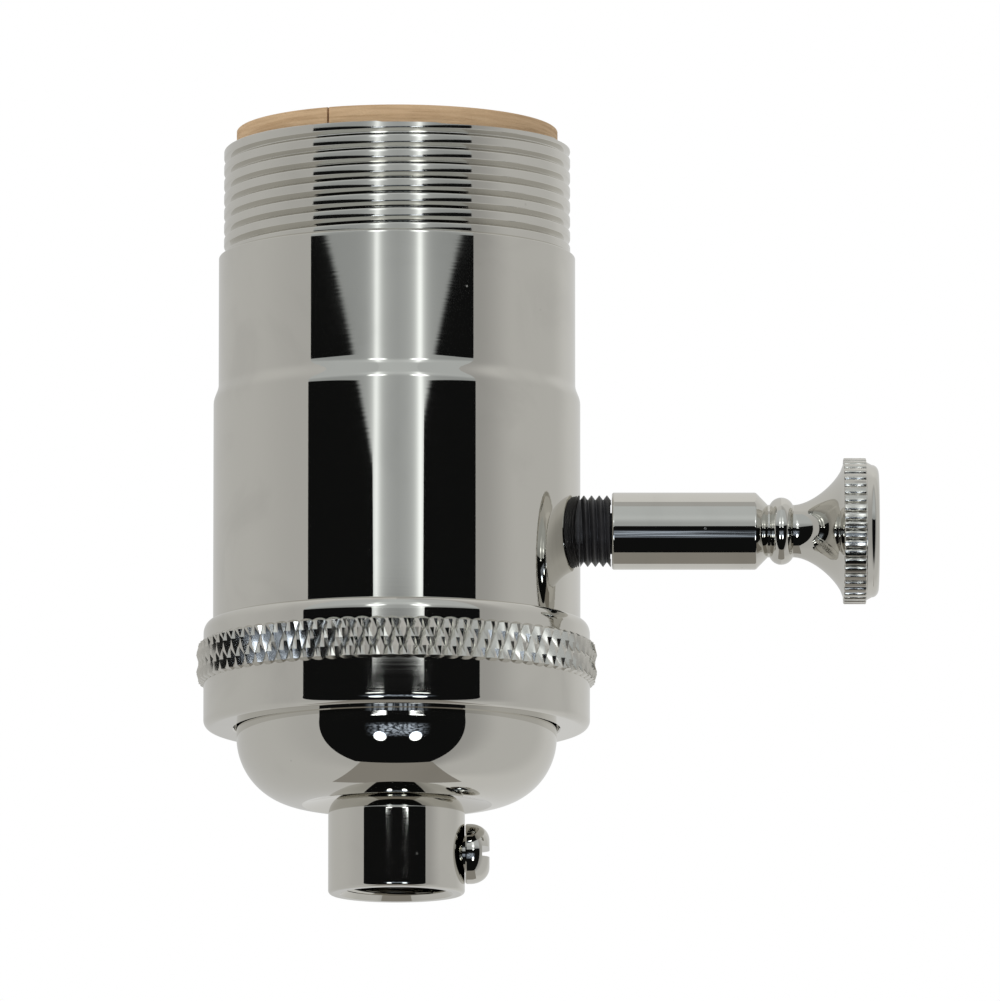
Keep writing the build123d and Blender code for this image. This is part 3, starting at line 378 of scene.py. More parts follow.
def cut(piece, cutter):
    """Cuts one piece away from another and deletes the cutter."""
    pick(piece)
    modify(piece, "BOOLEAN", object=cutter, operation="DIFFERENCE", solver="EXACT")
    pick(cutter)
    bpy.ops.object.delete()


def rod(radius, reach, height):
    """A plain rod from the socket's axis along X, for cutting a round hole."""
    clear_selection()
    middle, along_x = (reach / 2, 0.0, height), (0.0, pi / 2, 0.0)
    bpy.ops.mesh.primitive_cylinder_add(
        vertices=96, radius=radius, depth=reach, location=middle, rotation=along_x
    )
    return bpy.context.object


def copy_of(piece, name):
    """A copy of a piece, with a mesh of its own."""
    pick(piece)
    bpy.ops.object.duplicate()
    return named(name)


def smooth(piece, angle=28.0):
    """Smooth shading up to an angle, with the wide faces kept true."""
    pick(piece)
    bpy.ops.object.transform_apply(location=True, rotation=True, scale=True)
    bpy.ops.object.shade_smooth_by_angle(angle=radians(angle))
    modify(piece, "WEIGHTED_NORMAL", keep_sharp=True)


def mark_milled(piece, amount):
    """Marks a knurled, fluted or rolled piece, whose faces are less bright than turned ones."""
    pick(piece)
    bpy.ops.geometry.attribute_add(name="milled", domain="POINT", data_type="FLOAT")
    edit_all()
    bpy.ops.mesh.attribute_set(value_float=amount)
    leave_edit()


def borrow_normals(piece, source):
    """Takes the smooth normals of an uncut copy, so that a cut leaves no marks on the curve."""
    pick(piece)
    modify(
        piece,
        "DATA_TRANSFER",
        object=source,
        use_loop_data=True,
        data_types_loops={"CUSTOM_NORMAL"},
        loop_mapping="POLYINTERP_NEAREST",
        use_max_distance=True,
        max_distance=0.01 * MM,
    )
    pick(source)
    bpy.ops.object.delete()


def fit(piece, body, slot, *nodes):
    """Gives a finished piece its material, its body and the CAD nodes that it stands for."""
    piece.data.materials.clear()
    piece.data.materials.append(finish(slot))
    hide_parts(*nodes)
    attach(piece, body)
    return {"FINISHED"}


class SOCKET_OT_shell(bpy.types.Operator):
    """Turn the shell, roll its shade thread and cut the hole for the neck"""

    bl_idname = "socket.shell"
    bl_label = "Shell"

    def execute(self, context):
        sizes, dial = context.scene.casing_sizes, context.scene.dial_sizes
        low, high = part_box("shell")
        outer, wall, edge = high.x, sizes.wall, sizes.edge
        upper = outer - sizes.upper_inset
        step = low.z + sizes.step_rise
        step_top = step + sizes.step_length
        pitch, crest = sizes.thread_pitch, sizes.thread_radius
        root = crest - sizes.thread_depth
        thread_low = high.z - sizes.thread_turns * pitch - edge
        shoulder = thread_low - sizes.shoulder_drop
        soft = 3 * edge
        outline = [
            *arc((outer - edge, low.z + edge), edge, -90, 0, 3),
            (outer, step - 2 * soft),
            *blend_step((outer, step - soft), (upper, step_top + soft)),
            (upper, step_top + 2 * soft),
            (upper, shoulder - soft),
            *arc((upper - edge, shoulder - edge), edge, 0, 60, 4),
            (root, thread_low),
            (root, high.z - edge),
            *arc((root - edge, high.z - edge), edge, 0, 90, 4),
            (root - wall + edge, high.z),
            (root - wall, high.z - edge),
            (root - wall, shoulder),
            (upper - wall, shoulder - wall),
            (upper - wall, step_top),
            (outer - wall, step - wall / 2),
            (outer - wall, low.z),
        ]
        shell = turned("casing_shell", outline, steps=320)
        roll, flank, valley = sizes.crest_roll, 0.45 * pitch, 0.49 * pitch
        upper_half = [
            (crest, 0.0),
            *arc((crest - roll, sizes.crest_land), roll, 0, 60, 6),
            (root + 0.03 * MM, flank),
            (root - HAIR, valley),
            (root - wall / 2, valley),
        ]
        # Two turns more than are seen, which the limits cut off
        base, turns = shoulder - pitch / 2, sizes.thread_turns + 2
        limits = shoulder, high.z - edge / 2
        thread = ridge("shade_thread", mirrored(upper_half), base, limits, pitch, turns, steps=160)
        smooth(thread, 40)
        mark_milled(thread, amount=0.15)
        smooth(shell)
        whole = copy_of(shell, "uncut_shell")
        hole_gap = 0.15 * MM
        cut(shell, rod(dial.collar_radius + hole_gap, 2 * outer, dial.height))
        borrow_normals(shell, whole)
        join(shell, thread)
        return fit(shell, BODY, NICKEL, "shell")


class SOCKET_OT_liner(bpy.types.Operator):
    """Roll the fibre liner with its butt seam"""

    bl_idname = "socket.liner"
    bl_label = "Fibre liner"

    def execute(self, context):
        sizes, dial = context.scene.casing_sizes, context.scene.dial_sizes
        low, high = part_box("insulating_liner")
        outer, inner = high.x, high.x - sizes.liner_wall
        edge, relief = 0.08 * MM, 0.75 * MM
        outline = [
            (inner, low.z),
            (outer, low.z),
            *arc((outer - edge, high.z - edge), edge, 0, 90, 3),
            *arc((inner + edge, high.z - edge), edge, 90, 180, 3),
        ]
        gap = sizes.seam_gap / outer
        liner = turned("fibre_liner", outline, angle=2 * pi - gap)
        edit_all()
        bpy.ops.transform.rotate(
            value=-(sizes.seam_angle + gap / 2), orient_axis="Z", center_override=ORIGIN
        )
        leave_edit()
        cut(liner, rod(dial.collar_radius + relief, 2 * outer, dial.height))
        smooth(liner)
        return fit(liner, BODY, "fibre_board", "insulating_liner")


class SOCKET_OT_ring(bpy.types.Operator):
    """Turn the coupling ring and roll its diamond knurl"""

    bl_idname = "socket.ring"
    bl_label = "Coupling ring"

    def execute(self, context):
        sizes = context.scene.casing_sizes
        low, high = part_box("coupling_ring")
        plain, corner = sizes.ring_radius, sizes.ring_corner
        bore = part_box("shell")[1].x + SLIGHT
        lip, lip_top, edge = sizes.lip_radius, low.z + sizes.lip_thickness, sizes.edge
        round_low = high.z - sizes.ring_round
        outline = [
            (lip + edge, low.z),
            *arc((plain - corner, low.z + corner), corner, -90, 0, 12),
            (plain, low.z + corner + edge),
            (plain, round_low - edge),
            *oval((bore + edge, round_low), plain - bore - edge, sizes.ring_round, 0, 90, 14),
            (bore, high.z),
            (bore, lip_top),
            (lip, lip_top),
            (lip, low.z + edge),
        ]
        ring = turned("knurled_ring", outline, steps=320)
        smooth(ring)
        join(ring, self.knurl(sizes, low.z + sizes.knurl_start, high.x))
        return fit(ring, BODY, NICKEL, "coupling_ring")

    def knurl(self, sizes, start, outer):
        """The band of diamonds: two sets of crossing grooves, shrunk in from a spun grid."""
        columns, rows = 4 * sizes.knurl_count, 4
        rise = sizes.knurl_width / rows
        band = draw("knurl_band", [(outer, start + row * rise) for row in range(rows + 1)])
        spin(band, columns)
        places = [
            (round(atan2(co.y, co.x) / (2 * pi) * columns), round((co.z - start) / rise))
            for co in (vertex.co for vertex in band.data.vertices)
        ]
        kinds = [self.lattice_kind(column, row) for column, row in places]
        deep, slope = sizes.knurl_depth, 0.4 * sizes.knurl_depth
        depths = {
            "crossing": deep,
            "rising": 0.85 * deep,
            "falling": sizes.knurl_falling,
            "beside": slope,
            "land": slope,
        }
        for wanted, depth in depths.items():
            select_only(band, "VERT", lambda vertex: kinds[vertex.index] == wanted)
            self.shrink((outer - depth) / outer)
        self.split_along_grooves(band, places, kinds, columns)
        for limit, sign in ((start, -1.0), (start + sizes.knurl_width, 1.0)):
            select_rim(band, "Z", limit)
            bpy.ops.mesh.extrude_edges_move(
                TRANSFORM_OT_translate={"value": (0.0, 0.0, sign * sizes.knurl_bevel)}
            )
            self.shrink((sizes.ring_radius - SLIGHT) / outer)
        face_outwards()
        bpy.ops.object.shade_smooth_by_angle(angle=radians(14))
        mark_milled(band, amount=1.0)
        return band

    def shrink(self, factor):
        """Draws the selected mesh in towards the socket's axis."""
        bpy.ops.transform.resize(value=(factor, factor, 1.0), center_override=ORIGIN)

    def lattice_kind(self, column, row):
        """What a point of the grid is in the lattice of rising and falling grooves."""
        if row % 2 == 0:
            if column % 2 == 0:
                return "land"
            return "falling" if (column - row) % 4 == 1 else "rising"
        if column % 2:
            return "beside"
        return "crossing" if (column + row) % 4 == 1 else "crown"

    def split_along_grooves(self, band, places, kinds, columns):
        """Splits each quad along the groove that it lies on or beside."""

        def fits(face):
            (column, row), (next_column, next_row) = (places[face.vertices[end]] for end in (0, 2))
            across = (next_column - column + columns // 2) % columns - columns // 2
            rises = across * (next_row - row) > 0
            return rises == any(kinds[corner] == "rising" for corner in face.vertices)

        select_only(band, "FACE", fits)
        bpy.ops.mesh.quads_convert_to_tris(quad_method="FIXED")
        select_only(band, "FACE", lambda face: len(face.vertices) == 4)
        bpy.ops.mesh.quads_convert_to_tris(quad_method="FIXED_ALTERNATE")


class SOCKET_OT_cap(bpy.types.Operator):
    """Spin the domed cap"""

    bl_idname = "socket.cap"
    bl_label = "Cap"

    def execute(self, context):
        sizes = context.scene.casing_sizes
        low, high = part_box("cap")
        side, wall, corner = sizes.cap_radius, sizes.cap_wall, sizes.cap_corner
        centre = (side - corner, low.z + corner)
        hole, dish_slope = 4.9 * MM, 0.35 * MM
        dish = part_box("pipe_hub")[0].z + 9.4 * MM
        outline = [
            (high.x, high.z),
            (high.x, high.z - wall),
            (side, high.z - wall),
            (side, centre[1] + SMALL),
            *arc(centre, corner, 0, -90, 28),
            (hole + dish_slope, dish),
            (hole, dish),
            (hole, dish + wall),
            *arc(centre, corner - wall, -90, 0, 12),
            (side - wall, high.z),
        ]
        cap = turned("domed_cap", outline, steps=320)
        smooth(cap)
        return fit(cap, BODY, NICKEL, "cap")


class SOCKET_OT_hub(bpy.types.Operator):
    """Turn the pipe hub and cut its pipe thread"""

    bl_idname = "socket.hub"
    bl_label = "Pipe hub"

    def execute(self, context):
        sizes = context.scene.casing_sizes
        low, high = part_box("pipe_hub")
        outer, edge, crest, pitch = high.x, sizes.hub_edge, sizes.pipe_radius, sizes.pipe_pitch
        shoulder, seat = sizes.hub_shoulder, low.z + 9.35 * MM
        mouth, bore_end = low.z + 0.4 * MM, low.z + 8.2 * MM
        root = crest + sizes.pipe_depth
        neck, rivet, rivet_rim, wire_way = 4.85 * MM, 5.7 * MM, 5.55 * MM, 4.0 * MM
        rivet_low = seat + 0.9 * MM
        turn_in, lead_in, sunk = sizes.hub_top - 0.3 * MM, 0.3 * MM, 0.2 * MM
        outline = [
            (sizes.mouth_radius, low.z),
            (outer - edge - HAIR, low.z),
            *arc((outer - edge, low.z + edge), edge, -90, 0, 6),
            (outer, low.z + edge + SMALL),
            (outer, shoulder - SMALL),
            *oval((turn_in, shoulder), outer - turn_in, seat - shoulder, 0, 78, 14),
            (neck, seat),
            (neck, rivet_low),
            (rivet, rivet_low),
            (rivet_rim, high.z),
            (wire_way, high.z),
            (wire_way, bore_end),
            (root, bore_end),
            (root, mouth + sizes.pipe_depth),
            (crest + lead_in, mouth + SMALL),
        ]
        hub = turned("pipe_hub_turned", outline)
        smooth(hub)
        upper_half = [(crest, 0.06 * pitch), (root - HAIR, 0.42 * pitch), (root + sunk, 0.47 * pitch)]
        limits, turns = (mouth + 0.15 * MM, bore_end - SMALL), 8
        thread = ridge("pipe_thread", mirrored(upper_half), mouth, limits, pitch, turns, steps=96)
        smooth(thread)
        join(hub, thread)
        return fit(hub, BODY, NICKEL, "pipe_hub")


class SOCKET_OT_set_screw(bpy.types.Operator):
    """Turn the set screw and saw its slot"""

    bl_idname = "socket.set_screw"
    bl_label = "Set screw"

    def execute(self, context):
        sizes = context.scene.casing_sizes
        low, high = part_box("set_screw")
        height = sizes.screw_height
        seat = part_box("pipe_hub")[1].x + SLIGHT
        head, shank, bevel = high.z - height, 1.75 * MM, 0.12 * MM
        rim, dome = seat + 0.5 * MM, 1.55 * MM
        outline = [
            (0.0, low.x),
            (shank, low.x),
            (shank, seat),
            (head - bevel, seat),
            (head, seat + bevel),
            *oval((head - dome, rim), dome, high.x - rim, 0, 90, 14),
            (0.0, high.x),
        ]
        screw = turned("slotted_set_screw", outline, axis="X", height=height, steps=128)
        clear_selection()
        slot = (2 * sizes.screw_slot_depth, 3 * head, sizes.screw_slot_width)
        bpy.ops.mesh.primitive_cube_add(size=1.0, location=(high.x, 0.0, height), scale=slot)
        cut(screw, bpy.context.object)
        smooth(screw, 30)
        return fit(screw, BODY, NICKEL, "set_screw")


class SOCKET_OT_screw_shell(bpy.types.Operator):
    """Turn the lamp's screw shell and roll its thread"""

    bl_idname = "socket.screw_shell"
    bl_label = "Screw shell"

    def execute(self, context):
        sizes = context.scene.casing_sizes
        low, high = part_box("screw_shell")
        wall, crest, depth, pitch = sizes.lamp_wall, sizes.lamp_radius, sizes.lamp_depth, sizes.lamp_pitch
        root = crest + depth
        mouth = high.z - sizes.lamp_thread_end
        floor_hole, corner, inner_corner = 6.45 * MM, 0.6 * MM, 0.45 * MM
        inner_floor = low.z + 0.8 * MM
        outline = [
            (floor_hole, low.z),
            (root + wall - corner, low.z),
            *arc((root + wall - corner, low.z + corner), corner, -60, 0, 4),
            (root + wall, mouth - depth),
            *blend_step((root + wall, mouth - depth), (crest + wall, mouth), 6)[1:],
            (crest + wall, high.z - SMALL),
            *arc((crest + wall / 2, high.z - wall / 2), wall / 2, 0, 180, 6),
            (crest, mouth),
            *blend_step((crest, mouth), (root, mouth - depth), 6)[1:],
            (root, inner_floor),
            *arc((root - inner_corner, inner_floor), inner_corner, 0, -90, 4),
            (floor_hole, low.z + wall),
        ]
        shell = turned("lamp_screw_shell", outline, steps=192)
        smooth(shell)
        rooted, steps = root + SLIGHT, 6
        wave = [
            (rooted - (depth + SLIGHT) * (1 + cos(pi * step / steps)) / 2, 0.40 * pitch * step / steps)
            for step in range(-steps, steps + 1)
        ]
        limits, turns = (low.z + wall, mouth), 6
        thread = ridge("lamp_thread", wave, low.z - pitch, limits, pitch, turns, steps=128)
        smooth(thread, 35)
        join(shell, thread)
        return fit(shell, BODY, "brass", "screw_shell")


class SOCKET_OT_neck(bpy.types.Operator):
    """Mould the black neck and cut its thread"""

    bl_idname = "socket.neck"
    bl_label = "Threaded neck"

    def execute(self, context):
        dial = context.scene.dial_sizes
        low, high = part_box("threaded_neck")
        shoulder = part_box("dimmer_housing")[1].x + SLIGHT
        crest, collar, collar_end = dial.neck_radius, dial.collar_radius, dial.collar_end
        root, spigot, pitch = crest - dial.neck_depth, 3.0 * MM, dial.neck_pitch
        sunk = 0.15 * MM
        outline = [
            (dial.neck_bore, low.x),
            (spigot, low.x),
            (spigot, shoulder),
            (collar, shoulder),
            (collar, collar_end - SMALL),
            (collar - SMALL, collar_end),
            (root, collar_end),
            (root, high.x - SMALL),
            (root - SMALL, high.x),
            (dial.neck_bore, high.x),
        ]
        neck = turned("moulded_neck", outline, axis="X", height=dial.height, steps=160)
        smooth(neck)
        profile = [(crest, 0.0), (crest - HAIR, 0.05), (root, 0.46), (root - sunk, 0.48)]
        tooth = mirrored([(radius, part * pitch) for radius, part in profile])
        base, turns = collar_end - pitch / 2, 6
        limits = collar_end + 0.12 * MM, high.x - HAIR
        along_shaft = {"axis": "X", "height": dial.height}
        thread = ridge("neck_thread", tooth, base, limits, pitch, turns, steps=112, **along_shaft)
        smooth(thread, 30)
        join(neck, thread)
        return fit(neck, BODY, "black_moulding", "threaded_neck")


class SOCKET_OT_knob(bpy.types.Operator):
    """Turn the knob, with its bead and flare, and mill the fluted rim"""

    bl_idname = "socket.knob"
    bl_label = "Knob"

    def execute(self, context):
        dial = context.scene.dial_sizes
        low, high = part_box("knob")
        rim, start, edge = high.z - dial.height, low.x, dial.sleeve_edge
        sleeve, waist, bore = dial.sleeve_radius, dial.waist, dial.neck_bore
        sleeve_end = start + dial.sleeve_length
        taper_end = sleeve_end + dial.taper
        bead_start = taper_end + dial.land
        bead_end = bead_start + dial.bead_length
        flare_start = bead_end + dial.land
        disc_start = flare_start + dial.flare_length
        disc_end = disc_start + dial.disc_length
        ease, shave, fillet = 0.15 * MM, 0.04 * MM, 0.06 * MM
        root = rim - dial.flute_depth - shave
        sagitta, half_chord = dial.bead_radius - waist, dial.bead_length / 2
        bead_round = (half_chord**2 + sagitta**2) / (2 * sagitta)
        spread = degrees(atan2(half_chord, bead_round - sagitta))
        bead_middle = (dial.bead_radius - bead_round, bead_start + half_chord)
        face, face_low, face_round = dial.face_radius, disc_end + 0.4 * MM, disc_end + 0.55 * MM
        outline = [
            (bore, start),
            *arc((sleeve - edge, start + edge), edge, -90, 0, 3),
            (sleeve, sleeve_end - ease),
            (sleeve - shave, sleeve_end),
            (waist + fillet, taper_end - SLIGHT),
            (waist, taper_end),
            (waist, bead_start - HAIR),
            *arc(bead_middle, bead_round, -spread, spread, 12),
            (waist, bead_end + HAIR),
            *swept((waist, flare_start), (root, disc_start), self.swell, 16),
            (root, disc_end + SLIGHT),
            (dial.face_rim + 0.08 * MM, face_low),
            *oval((face, face_round), dial.face_rim - face, high.x - face_round, 0, 90, 10),
            (0.0, high.x),
            (0.0, start + dial.bore_depth),
            (bore, start + dial.bore_depth),
        ]
        knob = turned("turned_knob", outline, axis="X", height=dial.height)
        smooth(knob, 26)
        join(knob, self.fluted_rim(dial, rim, disc_start, disc_end))
        return fit(knob, DIAL, NICKEL, "knob")

    def swell(self, along):
        """The flare's slow swell, which turns up sharply at the rim."""
        return 0.5 * along**1.5 + 0.5 * (1 - sqrt(1 - along**2 * 0.995))

    def fluted_rim(self, dial, rim, start, end):
        """A disc whose edge is broad ribs with narrow notches between them."""
        points, notch, shoulder = 8, 1.0, 0.22
        count = dial.flute_count * points
        middle = (start, 0.0, dial.height)
        clear_selection()
        bpy.ops.mesh.primitive_circle_add(
            vertices=count, radius=rim, fill_type="NGON", location=middle, rotation=(0.0, pi / 2, 0.0)
        )
        disc = named("fluted_rim")
        bpy.ops.object.transform_apply(location=True, rotation=True, scale=True)

        def from_notch(vertex):
            turn = atan2(vertex.co.z - dial.height, vertex.co.y) / (2 * pi)
            place = round(turn * count) % points
            return min(place, points - place)

        for step, drop in enumerate((notch, shoulder)):
            select_only(disc, "VERT", lambda vertex: from_notch(vertex) == step)
            shrink = (rim - drop * dial.flute_depth) / rim
            bpy.ops.transform.resize(value=(1.0, shrink, shrink), center_override=middle)
        bpy.ops.mesh.select_all(action="SELECT")
        bpy.ops.mesh.extrude_region_move(TRANSFORM_OT_translate={"value": (end - start, 0.0, 0.0)})
        face_outwards()
        select_only(disc, "FACE", lambda face: abs(face.normal.x) > 0.9)
        bpy.ops.mesh.region_to_loop()
        bpy.ops.mesh.bevel(offset=SMALL, segments=3)
        leave_edit()
        smooth(disc, 42)
        mark_milled(disc, amount=1.0)
        return disc


def put(value, socket):
    """Links a shader value to a socket, or sets a plain number, vector or colour on it."""
    if isinstance(value, Value):
        value.tree.links.new(value.socket, socket)
    else:
        socket.default_value = value


class Value:
    """A node's output that sums can be written with. Each sum is a node in the same tree."""

    def __init__(self, socket):
        self.socket = socket
        self.tree = socket.id_data

    def maths(self, operation, *others):
        """A maths node on this value and on other values or plain numbers."""
        node = self.tree.nodes.new("ShaderNodeMath")
        node.operation = operation
        for socket, value in zip(node.inputs, (self, *others)):
            put(value, socket)
        return Value(node.outputs[0])

    __add__ = partialmethod(maths, "ADD")
    __sub__ = partialmethod(maths, "SUBTRACT")
    __mul__ = partialmethod(maths, "MULTIPLY")
    __truediv__ = partialmethod(maths, "DIVIDE")
    __abs__ = partialmethod(maths, "ABSOLUTE")

    def ranged(self, low, high, out_low=0.0, out_high=1.0):
        """The value mapped from one range to another, with soft ends."""
        node = self.tree.nodes.new("ShaderNodeMapRange")
        node.interpolation_type = "SMOOTHSTEP"
        limits = {"From Min": low, "From Max": high, "To Min": out_low, "To Max": out_high}
        for label, limit in limits.items():
            node.inputs[label].default_value = limit
        put(self, node.inputs["Value"])
        return Value(node.outputs["Result"])

    def band(self, low, full, fading, high):
        """One inside a range and nought outside it, with soft ends."""
        return self.ranged(low, full) * self.ranged(fading, high, 1.0, 0.0)


def coordinates(tree, label):
    """One of the coordinates that a tree can be read in."""
    return Value(tree.nodes.new("ShaderNodeTexCoord").outputs[label])


def parts_of(vector):
    """The three parts of a vector."""
    node = vector.tree.nodes.new("ShaderNodeSeparateXYZ")
    put(vector, node.inputs[0])
    return [Value(part) for part in node.outputs]


def stretched(vector, factors):
    """A vector scaled apart along each axis."""
    node = vector.tree.nodes.new("ShaderNodeVectorMath")
    node.operation = "MULTIPLY"
    put(vector, node.inputs[0])
    put(factors, node.inputs[1])
    return Value(node.outputs[0])


def texture(kind, vector, scale, output="Fac", **values):
    """A texture read at a vector."""
    node = vector.tree.nodes.new("ShaderNodeTex" + kind)
    put(vector, node.inputs["Vector"])
    put(scale, node.inputs["Scale"])
    for label, value in values.items():
        node.inputs[label].default_value = value
    return Value(node.outputs[output])


def mixed(factor, first, second):
    """A mix of two colours, each a shader value or a plain colour."""
    node = factor.tree.nodes.new("ShaderNodeMix")
    node.data_type = "RGBA"
    factor_place, first_place, second_place, result_place = 0, 6, 7, 2
    put(factor, node.inputs[factor_place])
    for place, colour in ((first_place, first), (second_place, second)):
        put(colour if isinstance(colour, Value) else (*colour, 1.0), node.inputs[place])
    return Value(node.outputs[result_place])


def darker(colour, factor):
    """A colour scaled towards black, or towards white by a factor over one."""
    return tuple(part * factor for part in colour)


def buffing(vector, stretch, waves):
    """Fine lines left by the lathe and the buffing wheel, and the slight waves of a plated sheet."""
    lines = texture("Noise", stretched(vector, stretch), 1.0, Detail=3.0)
    swell = texture("Noise", vector, 900.0, Detail=2.0)
    return lines * 0.25 + swell * waves, lines.ranged(0.35, 0.65)


def handling(vector, speck_size):
    """Smudges from fingers and a few small specks."""
    cloud = texture("Noise", vector, 110.0, Detail=4.0, Distortion=0.6)
    dots = texture("Voronoi", vector, 420.0, "Distance").maths("LESS_THAN", speck_size)
    some = texture("Noise", vector, 160.0, Detail=1.0).maths("GREATER_THAN", 0.62)
    return cloud.ranged(0.48, 0.72), dots * some


def grain(vector, scale):
    """Even fine grain of moulded, sintered or laminated pieces, and faint patches."""
    patches = texture("Noise", vector, 260.0, Detail=4.0)
    return texture("Noise", vector, scale, Detail=3.0), patches.ranged(0.38, 0.64)


SURFACES = {
    "Buffing lines": (buffing, {"Stretch": (300.0, 300.0, 9000.0), "Waves": 0.5}, ("Height", "Lines")),
    "Handling marks": (handling, {"Speck size": 0.06}, ("Smudge", "Specks")),
    "Moulded grain": (grain, {"Scale": 2500.0}, ("Height", "Patches")),
}


def surface_group(name):
    """One of the shared shader groups, made the first time that it is asked for."""
    if name in bpy.data.node_groups:
        return bpy.data.node_groups[name]
    fill, settings, results = SURFACES[name]
    group = bpy.data.node_groups.new(name, "ShaderNodeTree")
    group.interface.new_socket(name="Vector", in_out="INPUT", socket_type="NodeSocketVector")
    for label, value in settings.items():
        kind = "NodeSocketFloat" if isinstance(value, float) else "NodeSocketVector"
        group.interface.new_socket(name=label, in_out="INPUT", socket_type=kind).default_value = value
    for label in results:
        group.interface.new_socket(name=label, in_out="OUTPUT", socket_type="NodeSocketFloat")
    start, end = group.nodes.new("NodeGroupInput"), group.nodes.new("NodeGroupOutput")
    values = fill(*(Value(start.outputs[label]) for label in ("Vector", *settings)))
    for value, label in zip(values, results):
        put(value, end.inputs[label])
    return group


def surface(name, vector, **settings):
    """The results of a shared shader group, placed in a material."""
    node = vector.tree.nodes.new("ShaderNodeGroup")
    node.node_tree = surface_group(name)
    put(vector, node.inputs["Vector"])
    for label, value in settings.items():
        node.inputs[label].default_value = value
    return [Value(output) for output in node.outputs]


def blank(name):
    """A material with its shader's inputs and its Object coordinates."""
    material = bpy.data.materials.new(name)
    material.use_nodes = True
    tree = material.node_tree
    return material, tree.nodes["Principled BSDF"].inputs, coordinates(tree, "Object")


def bump(shader, height, distance):
    """Feeds a height into the shader's normal, its distance given in millimetres."""
    node = height.tree.nodes.new("ShaderNodeBump")
    node.inputs["Distance"].default_value = distance * MM
    put(height, node.inputs["Height"])
    put(Value(node.outputs["Normal"]), shader["Normal"])


def polished_metal(name, colour, shade, rough, stretch, waves, depth):
    """Plated or rolled metal with buffing lines, smudges and specks."""
    material, shader, place = blank(name)
    height, lines = surface("Buffing lines", place, Stretch=stretch, Waves=waves)
    smudge, specks = surface("Handling marks", place)
    dull = darker(colour, shade)
    put(mixed(specks * 0.5, mixed(smudge * 0.35, colour, dull), dull), shader["Base Color"])
    attribute = place.tree.nodes.new("ShaderNodeAttribute")
    attribute.attribute_name = "milled"
    milled = Value(attribute.outputs["Fac"])
    worn = smudge * (0.5 * rough) + lines * (0.3 * rough) + milled * 0.15
    put(worn + specks * 0.2 + rough, shader["Roughness"])
    shader["Metallic"].default_value = 1.0
    bump(shader, height, depth)
    return material


def moulded(name, colour, shade, rough, scale, depth, coat):
    """Moulded, laminated or sintered pieces: fine grain and faint patches."""
    material, shader, place = blank(name)
    height, patches = surface("Moulded grain", place, Scale=scale)
    put(mixed(patches, colour, darker(colour, shade)), shader["Base Color"])
    put(patches.ranged(0.0, 1.0, rough, rough * 1.3), shader["Roughness"])
    shader["Coat Weight"].default_value = coat
    bump(shader, height, depth)
    return material


def fibre_board(name, colour, dark):
    """Rolled fibre board: long strands round the tube, flecks and a fuzzy surface."""
    material, shader, place = blank(name)
    strands = texture("Noise", stretched(place, (150.0, 150.0, 3600.0)), 1.0, Detail=6.0, Roughness=0.6)
    fuzz, patches = surface("Moulded grain", place, Scale=4200.0)
    body = mixed(strands.ranged(0.38, 0.66), colour, dark)
    put(mixed(patches * 0.35, body, darker(colour, 1.12)), shader["Base Color"])
    put(strands.ranged(0.2, 0.8, 0.78, 0.92), shader["Roughness"])
    bump(shader, strands * 0.6 + fuzz, 0.06)
    return material


def wound_wire(name, colour):
    """Enamelled wire, wound closely along Y, with painted shade across each turn."""
    material, shader, place = blank(name)
    wave = texture("Wave", place, 620.0, Distortion=0.4)
    wave.socket.node.bands_direction = "Y"
    # Painted shade: across each turn of the wave the colour falls to half, towards the groove between turns
    put(mixed(wave, darker(colour, 0.5), colour), shader["Base Color"])
    put(wave.ranged(0.0, 1.0, 0.45, 0.25), shader["Roughness"])
    shader["Metallic"].default_value = 0.4
    shader["Coat Weight"].default_value = 0.5
    bump(shader, wave, 0.12)
    return material


def finish(slot):
    """The material for one of the record's slots, made the first time that it is asked for."""
    name = slot + "_finish"
    if name in bpy.data.materials:
        return bpy.data.materials[name]
    colours = bpy.context.scene.finish_colours
    sheet = (250.0, 250.0, 9000.0)
    # After the colour: metals have shade, roughness, stretch, waves and depth of the lines, and
    # moulded pieces have shade, roughness, scale and depth of the grain, and coat.
    makers = {
        NICKEL: (polished_metal, colours.nickel, 0.82, 0.02, (130.0, 130.0, 4200.0), 0.15, 0.0008),
        "brass": (polished_metal, colours.brass, 0.55, 0.20, sheet, 0.4, 0.006),
        "zinc_steel": (polished_metal, colours.steel, 0.6, 0.28, sheet, 0.4, 0.008),
        "fibre_board": (fibre_board, colours.fibre, colours.fibre_dark),
        "enamelled_wire": (wound_wire, colours.wire),
        "moulded_insulator": (moulded, colours.clay, 1.5, 0.42, 2600.0, 0.02, 0.0),
        "phenolic": (moulded, colours.board, 0.7, 0.45, 3200.0, 0.02, 0.1),
        "black_moulding": (moulded, colours.black, 1.8, 0.36, 3000.0, 0.015, 0.0),
        "component_glass": (moulded, colours.coat, 0.7, 0.12, 1500.0, 0.004, 0.8),
        "resistor_coat": (moulded, colours.lacquer, 0.8, 0.25, 1800.0, 0.008, 0.5),
        "capacitor_case": (moulded, colours.case, 0.85, 0.22, 1800.0, 0.006, 0.4),
        "ferrite": (moulded, colours.ferrite, 1.5, 0.55, 3800.0, 0.02, 0.0),
    }
    make, *values = makers[slot]
    return make(name, *values)


class SOCKET_OT_inner_pieces(bpy.types.Operator):
    """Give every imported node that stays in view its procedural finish"""

    bl_idname = "socket.inner_pieces"
    bl_label = "Inner pieces"

    def execute(self, context):
        for row in frame["record"]["subparts"]:
            node = frame["nodes"][row["node"]]
            node.data.materials.clear()
            node.data.materials.append(finish(row["material_slot"]))
        return {"FINISHED"}


